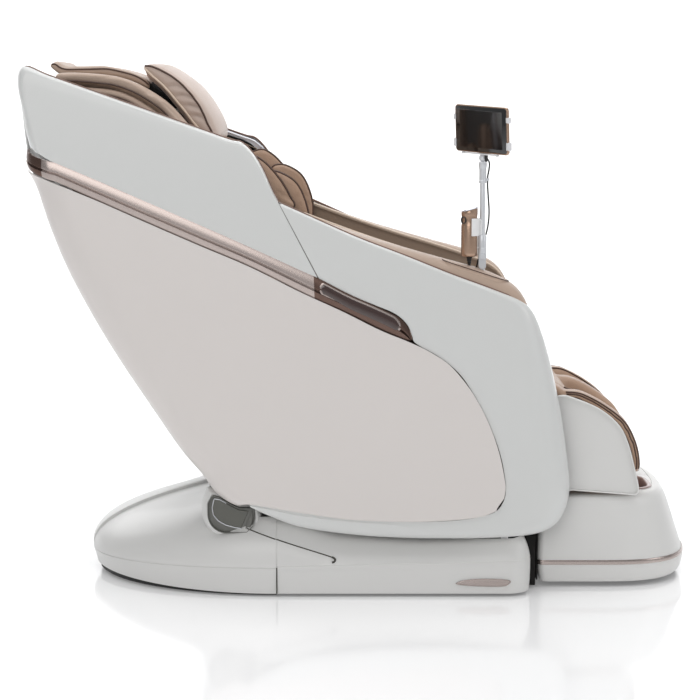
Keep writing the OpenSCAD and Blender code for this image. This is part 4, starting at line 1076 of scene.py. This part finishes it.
# Side cushions beside the shoulders and the upper arms
shoulder_outline = ring([[-330, 1050], [-266, 1078], [-228, 1064], [-188, 1022], [-163, 980], [-152, 942],
                         [-240, 900], [-300, 930]], 70)
upper_arm_outline = ring([[-262, 880], [-240, 1015], [-212, 1038], [-178, 1030], [-144, 1004], [-122, 955],
                          [-115, 905], [-130, 862], [-200, 830]], 70)
elbow_outline = ring([[-242, 880], [-224, 985], [-202, 1000], [-180, 986], [-161, 955], [-152, 915], [-162, 872],
                      [-205, 850]], 50)
for name, s in sides.items():
    for pad, outline, y0, y1, edge in (("shoulder_pad", shoulder_outline, 300, 332, 15),
                                       ("upper_arm_pad", upper_arm_outline, 268, 295, 13)):
        stands = ["shoulder_pads"] if pad == "shoulder_pad" and s > 0 else []
        form = section_pad(inset(outline, 3), y0, y1, edge, 16)
        obj = cushion(f"{pad}_{name}", on_side(form, s), LEATHER_TAN, "pod", stands, 0.8, cap=5, voxel=5, smoothing=2)
        loops = across(closed(outline), s * (y1 - 4), s * (y0 + 4))
        piping(f"{pad}_piping_{name}", obj, loops, 2.3, PIPING, "pod")
    form = section_pad(inset(elbow_outline, 3), 296, 312, 7, 12)
    small = put(f"elbow_pad_{name}", on_side(form, s), LEATHER_TAN, "pod")
    piping(f"elbow_pad_piping_{name}", small, across(closed(elbow_outline), s * 310), 2.2, PIPING_PALE, "pod")

# Inner faces of the wings
liner_outline = edged([(-775, 1235), (-560, 1180), (-320, 1094), (-275, 1076), (-215, 965), (-190, 930), (-160, 830),
                       (-215, 780), (-470, 780), (-640, 900), (-745, 1090)], 5)
put("wing_liners", both(slab(liner_outline, 334, 342, 2.5)), LEATHER_WALL, "pod", ["wing_liners"], sharp=50)

# Speaker pods: a silver rim with a top bar round an oval black cloth
speaker_rim = traced([(-438, 1150), (-370, 1129), (-316, 1110), (-280, 1098), (-256, 1078), (-240, 1046),
                      (-228, 1010), (-250, 985), (-300, 1000), (-400, 1072), (-438, 1150)], 90)
speaker_cloth = ring([[-414, 1128], [-354, 1112], [-306, 1096], [-280, 1078], [-264, 1050], [-258, 1022],
                      [-276, 1006], [-312, 1014], [-390, 1080]], 60)
put("speaker_rims", both(slab(speaker_rim, 338, 350, 4)), SPEAKER, "pod", ["speakers"], sharp=50)
for name, s in sides.items():
    put(f"speaker_cloth_{name}", on_side(slab(speaker_cloth, 334.5, 341, 2), s), CLOTH_AND_SHADE_BLACK, "pod")

# ---------- leg rest ----------

calf_line = [[496, 482], [521, 480], [594, 450], [644, 409], [668, 364], [685, 303], [697, 246], [688, 231]]
calf_rear = smooth([(533, 243), (510, 250), (492, 330), (480, 420), (490, 474), (496, 482)], 24)
calf_outline = np.concatenate([smooth(calf_line, 60), even([(688, 231), (660, 233)], 4)[1:],
                               even([(660, 233), (533, 243)], 10)[1:], calf_rear[1:-1]])
put("calf_shells", both(slab(calf_outline, 278.5, 288, 4.5, 6)), BASE, "legrest", ["calf_shells"], sharp=50)
calf_back = np.concatenate([even([(508, 250), (478, 352)], 6), even([(470, 352), (500, 250)], 6)])
put("calf_rear_panel", slab(calf_back, -277, 277, 1.5), BASE, "legrest")

pad_line = [[516, 497], [551, 494], [603, 468], [650, 434], [674, 407], [696, 362], [706, 318], [706, 292]]
channel_back = [[586, 244], [584, 300], [566, 380], [540, 440]]
pad_front = smooth(pad_line, 40)
pad_behind = np.concatenate([even([(524, 246), (524, 400)], 8), [(504, 436)], arc(KNEE, 42, 0, 180, 14)])
pad_roll = arc(KNEE, KNEE_R, 180, 48, 20)
wall_form = np.concatenate([pad_roll, pad_front, even([(694, 280), (672, 250), (540, 246)], 10), pad_behind])
floor_form = np.concatenate([arc(KNEE, KNEE_R, 180, 18, 22), smooth(channel_back[::-1], 14),
                             even([(580, 244), (530, 246)], 3)[1:-1], pad_behind])
walls = [section_pad(inset(wall_form, 4), y0, y1, 15, 16) for y0, y1 in ((-268, -206), (206, 268), (-34, 34))]
channels = section_pad(inset(floor_form, 4), -215, 215, 10, 20)
bands = [[(x, s * 270, z) for x, z in offset(even(pad_front, 60), -d)] for s in (-1, 1) for d in (12, 24)]
calf_pads = cushion("calf_pads", join(*walls, channels), LEATHER_TAN, "legrest", ["calf_pads"], 0.7, [(bands, 4, 4)],
                    pressure=3, cap=4.5, voxel=6, smoothing=3)
piping("calf_piping", calf_pads, bands, 2.0, PIPING, "legrest")
rims = across(offset(even(pad_front, 60), -3), -266, -208, 208, 266)
piping("calf_rim_piping", calf_pads, rims, 2.2, PIPING, "legrest")

# ---------- foot unit ----------

FOOT_REAR, FOOT_W = 447, 292
FOOT_MID, FOOT_BOW = 600, 0.72  # where the rounded front starts, and its power
foot_front = [[13, 826, 9], [20, 833, 5], [30, 837, 3], [57, 840, 0], [109, 824, 0], [187, 798, 2], [212, 787, 4],
              [224, 779, 9], [230, 770, 16], [232.5, 758, 26]]


def foot_ring(x, d, z, n=40):
    w, r = FOOT_W - d, FOOT_REAR + d
    curve = [(FOOT_MID + (x - FOOT_MID) * max(cos(a), 0) ** FOOT_BOW,
              w * copysign(abs(sin(a)) ** FOOT_BOW, a), z) for a in np.linspace(-1.48, 1.48, n)]
    near_side = [(q, -w, z) for q in np.linspace(r + 16, FOOT_MID, 8)]
    corner = [(r + 16 - 16 * sin(a), -w + 16 - 16 * cos(a), z) for a in np.linspace(pi / 2, 0.1, 6)]
    far_side = [(q[0], -q[1], z) for q in reversed(corner + near_side)]
    return corner + near_side + curve + far_side


foot_rows = smooth(foot_front, 54)
rings = [foot_ring(q[1], q[2], q[0]) for q in foot_rows]
grid = np.array(rings).transpose(1, 0, 2)
put("foot_shell", shell(grid, WALL, 1, True), BASE, "foot", ["foot_shell"], sharp=40)
floor_ring = foot_ring(820, 16, 0)
put("foot_floor", loft([[(x, y, z) for x, y, _ in floor_ring] for z in (14, 22)]), by_slot["black_plastic"], "foot")
rear_plate = loft([[(x, y, z) for y, z in rounded(560, 196, 10)] for x in (0, 2.6)])
put("foot_rear_plate", moved(rear_plate, at(444.8, 0, 113)), by_slot["black_plastic"], "foot", sharp=50)
sleeve = lathe([(6.0, 0), (14, 0), (14, 180), (6.0, 180)], 32)
sleeves = join(*[moved(sleeve, at(513, s * 135, 22)) for s in (-1, 1)])
put("foot_sleeves", sleeves, by_slot["black_plastic"], "foot")
band_rows = [(841.2, -1.0, 57.6), (841.9, -1.8, 60), (841.2, -1.8, 65), (839.2, -1.6, 68.4), (838.2, -0.8, 69.4)]
band_grid = np.array([foot_ring(x, d, z) for x, d, z in band_rows]).transpose(1, 0, 2)
put("foot_band", shell(band_grid, 1, 1, True), BRONZE, "foot", ["foot_band"], sharp=40)


WELL_N = 72


def well(d):
    """Plan of the left foot well, shrunk by d."""
    y0, y1 = 20, 214
    parts = [arc((590 + d, y0 + 34), 34 - d, 270, 180, 8), arc((590 + d, y1 - 34), 34 - d, 180, 90, 8),
             arc((672 - d, y1 - 62), 62 - d, 90, 0, 12), arc((672 - d, y0 + 62), 62 - d, 0, -90, 12)]
    parts[0][:, 0] -= d
    parts[1][:, 0] -= d
    parts[2][:, 0] += d
    parts[3][:, 0] += d
    return traced(closed(np.concatenate(parts)), WELL_N)


def top_edge(p, centre):
    """Where the line from centre through p leaves the top of the foot shell."""
    u = (p - centre) / np.linalg.norm(p - centre)
    for r in np.arange(20, 400, 0.5):
        x, y = centre + u * r
        out = max(x - FOOT_MID, 0) / 157.5
        if y < 0 or x < 470 or out ** (2 / FOOT_BOW) + (max(y, 0) / 265.5) ** (2 / FOOT_BOW) > 1:
            return centre + u * (r - 0.5)
    return p


hole = well(-13)
outer = np.array([top_edge(p, np.array([640.0, 117.0])) for p in hole])
top = loft([[(x, y, 222) for x, y in outer], [(x, y, 231.5) for x, y in outer],
            [(x, y, 233.4) for x, y in mix(outer, hole, 0.3)], [(x, y, 233.6) for x, y in hole],
            [(x, y, 226) for x, y in well(-11)]], caps=False)
put("foot_top", both(top), BASE, "foot", sharp=50)
verts, faces = stack(well, [(228, -12.6), (234, -12.4), (236.2, -10), (237, -5), (235.6, -1), (232, 1), (226, 3),
                            (200, 5), (120, 7), (70, 8), (50, 12), (42, 20), (40, 30)], caps=False)
faces.append(tuple(range(len(verts) - WELL_N, len(verts))))  # floor of the well
put("foot_wells", both((verts, faces)), MAUVE, "foot", ["foot_liner"], sharp=50)

# ---------- tablet arm and handset ----------

POST = (299, -DECK_Y)
low = [(11.5, 0), (11.5, 6), (10.5, 8)]
put("post_flange", moved(lathe(low), ON_CONSOLE @ at(20, 0, -8.9)), SILVER, "pod", ["post_lower"])
stub = lathe([(7, 786), (7, 812), (6, 815), (6, 826)])
fork = join(*[slab(rounded(18, 40, 7) + [0, 820], e * 9 - 2, e * 9 + 2, 1.2) for e in (-1, 1)])
pin = join(moved(lathe([(3, -13.5), (5, -13), (5, 13), (3, 13.5)], 24), at(0, 0, 830, ("X", 90))),
           moved(lathe([(0.5, 0), (6.8, 0), (7.4, 1), (7.4, 3.2), (6.6, 4), (0.5, 4)], 6),
                 at(0, -12, 830, ("X", 90))),
           moved(lathe([(0.5, 0), (7, 0), (7.4, 1), (6.8, 3.4), (0.5, 4)], 24), at(0, 16, 830, ("X", 90))))
sleeve = lathe([(8, 824), (9.8, 824.5), (10.5, 826), (10.5, 850), (9.9, 850.8), (9.9, 852.2), (10.5, 853),
                (10.5, 877), (9.8, 880), (8.6, 881.4), (6.5, 881.4)])
rod = lathe([(6.5, 880), (6.5, 1002), (6.2, 1005), (5.5, 1006)])
screws = join(*[moved(lathe([(0.3, 0), (2.4, 0), (2.6, 0.8), (2.2, 1.5), (0.3, 1.6)], 16),
                      at(0, -11.2, z, ("X", 90))) for z in (834, 868)])
put("post_lower_parts", moved(join(stub, fork, pin, sleeve, rod, screws), at(*POST, 0)), SILVER, "pod")

# White cradle that holds the handset
turn = np.radians(np.linspace(-80, 80, 40))
c_shape = np.array([(25 * cos(a), 25 * sin(a)) for a in turn] +
                   [(20.6 * cos(a), 20.6 * sin(a)) for a in turn[::-1]])
cradle = stack(lambda d: inset(c_shape, d),
               [(880, 0.84), (881.2, 0.14), (884, 0), (918, 0), (920.8, 0.14), (922, 0.84)])
bridge = moved(slab(rounded(22, 38, 5), -8, 8, 2.5), at(287.5, HY, 901))
white = look("white_moulding", "post_silver", srgb(236, 236, 236), 0.35, coat=0.2, vary=0.02, patch=14,
             grain="moulded", bump=0.05)
put("handset_cradle", join(moved(cradle, at(HX, HY, 0)), bridge), white, "pod")

ball = lathe([(0.4 + 9 * sin(a), -9 * cos(a)) for a in np.linspace(0.1, 3.04, 16)])
upper = join(lathe([(8.5, 1006.6), (9.4, 1007.5), (9.4, 1012), (8.5, 1013), (8.5, 1040), (9.2, 1041), (9.2, 1044),
                    (10, 1046), (10, 1056), (8, 1058), (5, 1058.5), (5, 1063)]),
             moved(ball, at(0, 0, 1067)),
             moved(lathe([(2.1, 0), (4.5, 0), (4.5, 6), (2.1, 6)], 24), at(12, 0, 1012)))
put("post_upper_parts", moved(upper, at(*POST, 0)), SILVER, "tablet_arm", ["post_upper"])

ON_TABLET = at(*POST, 1067, ("Z", 40), ("Y", -5), ("X", 3))
TW, TH, TABLET_Y = 180, 113, -8  # tablet's width, height and shift in its holder


def panel_form(w, h, r, rows):
    """Rounded plate in the tablet's frame: rows of (depth x, inset)."""
    rings = []
    for x, d in rows:
        q = rounded(w - 2 * d, h - 2 * d, max(r - d, 0.6), 8)
        rings.append([(x, a + TABLET_Y, b + 13 + TH / 2) for a, b in q])
    return loft(rings)


case = panel_form(TW, TH, 9, [(-3.9, 4), (-4.2, 1.2), (-5.4, 0), (-10, 0), (-11.4, 0.6), (-12.0, 1.8)])
put("tablet_case", moved(case, ON_TABLET), HANDSET, "tablet", ["tablet_case"], sharp=50)
bezel = panel_form(TW - 5, TH - 5, 7, [(-10.5, 0), (-12.3, 0.2), (-12.7, 0.9)])
put("tablet_bezel", moved(bezel, ON_TABLET), BEZEL, "tablet", ["tablet_glass"], sharp=50)
screen = panel_form(TW - 34, TH - 24, 2, [(-12.4, 0), (-12.95, 0.3)])
put("tablet_screen", moved(screen, ON_TABLET), GLASS, "tablet", sharp=50)
clip = look("clear_clip", "post_silver", srgb(232, 232, 234), 0.25, coat=0.4, vary=0.03, patch=20, grain="moulded")
holder = join(moved(slab(rounded(6, 62, 2.5), -30, 30, 2), at(-1.2, 0, 49)),
              moved(slab(rounded(13, 22, 4), -12, 12, 3), at(3.5, 0, 19)),
              *[moved(slab(rounded(12, 20, 3), -4, 4, 1.5), at(-8, TABLET_Y + s * (TW / 2 + 0.5), 34))
                for s in (-1, 1)],
              *[moved(slab(rounded(12, 14, 3), -3.5, 3.5, 1.5), at(-8, TABLET_Y + s * TW / 2, 96)) for s in (-1, 1)],
              *[moved(slab(rounded(5, 5, 2), -88, 88, 2), at(-1.5, TABLET_Y, z)) for z in (34, 96)],
              moved(slab(rounded(12, 7, 2.5), -60, 60, 2), at(-8, 0, 10.5)))
put("tablet_holder", moved(holder, ON_TABLET), clip, "tablet", sharp=50)
plug = lathe([(2.1, -2), (2.6, -1), (4, 3), (4.3, 5), (4.3, 14), (3.6, 15), (0.5, 15)], 24)
put("tablet_plug", moved(plug, ON_TABLET @ at(-6, -18, -6)), CABLE, "tablet", sharp=50)

LEAD_R = 2.0
lead_low = [[307.8, -352, 882], [311, -351.5, 896], [314, -351, 915], [315, -351, 940], [313, -352, 970],
            [311, -352, 998], [311, -352, 1011]]
lead_high = [[311, -352, 1011.2], [311, -352, 1022], [314, -354, 1040], [314, -362, 1056], [305.9, -370, 1069]]
lead_down = [[289.5, -352, 823.5], [288.5, -351.5, 816], [286, -348, 804], [285, -346, 792], [285, -346, 720]]


def lead(name, route, n):
    """Lead along the route, riding no body and with its placing baked into the mesh, for the CAD node of the same
    name.
    """
    obj = put(name, tube(smooth(route, n), LEAD_R, 14), CABLE, None, [name])
    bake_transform(obj)


lead("tablet_lead_low", lead_low, 44)
lead("tablet_lead_high", lead_high, 36)
put("tablet_lead_down", tube(smooth(lead_down, 26), LEAD_R, 14), CABLE, "pod")

CAP_SLOPE = 0.25


def handset_ring(r, z, slope=0.0):
    return [(HX + r * cos(a), HY + r * sin(a), z + r * cos(a) * slope)
            for a in np.linspace(0, 2 * pi, 56, endpoint=False)]


rings = []
for z, r in ((830, 16.5), (831, 18.4), (833, 19.4), (840, 20), (903, 20), (906, 19.6), (909, 19.0), (925, 18.8),
             (930, 19.6), (934, 20)):
    rings.append(handset_ring(r, z))
rings += [handset_ring(r, z, CAP_SLOPE) for r, z in ((20, 941), (19.2, 942))]
put("handset_body", loft(rings), HANDSET, "handset", ["handset_body"], sharp=40)
cap = [handset_ring(r, 941.8 + up, CAP_SLOPE)
       for r, up in ((19.6, 0), (20.3, 0.6), (20.4, 2.2), (19.4, 3.4), (16, 4.0), (6, 4.4), (1, 4.4))]
put("handset_cap", loft(cap), CHROME, "handset", sharp=40)
eye = moved(lathe([(0.5, -2.4), (5.4, -2.2), (6.6, -0.4), (7.2, 1.2), (8.2, 1.6), (8.8, 0.8), (8.8, -4)], 40),
            at(HX - 15.2, HY - 11.8, 918, ("Z", 38), ("Y", -90)))
put("handset_eye", eye, by_slot["black_plastic"], "handset", sharp=50)
boot = lathe([(2.0, 805), (3.2, 806), (3.6, 811), (3.2, 812), (4.4, 813), (4.6, 817), (4.2, 818), (5.6, 819),
              (5.8, 823), (5.4, 824), (7, 826), (7.4, 831)], 28)
put("handset_boot", moved(boot, at(HX, HY, 0)), CABLE, "handset", sharp=50)
handset_lead = tube([(HX, HY, z) for z in np.linspace(660, 808, 24)], LEAD_R, 14)
put("handset_lead", handset_lead, CABLE, "handset", ["handset_cable"])
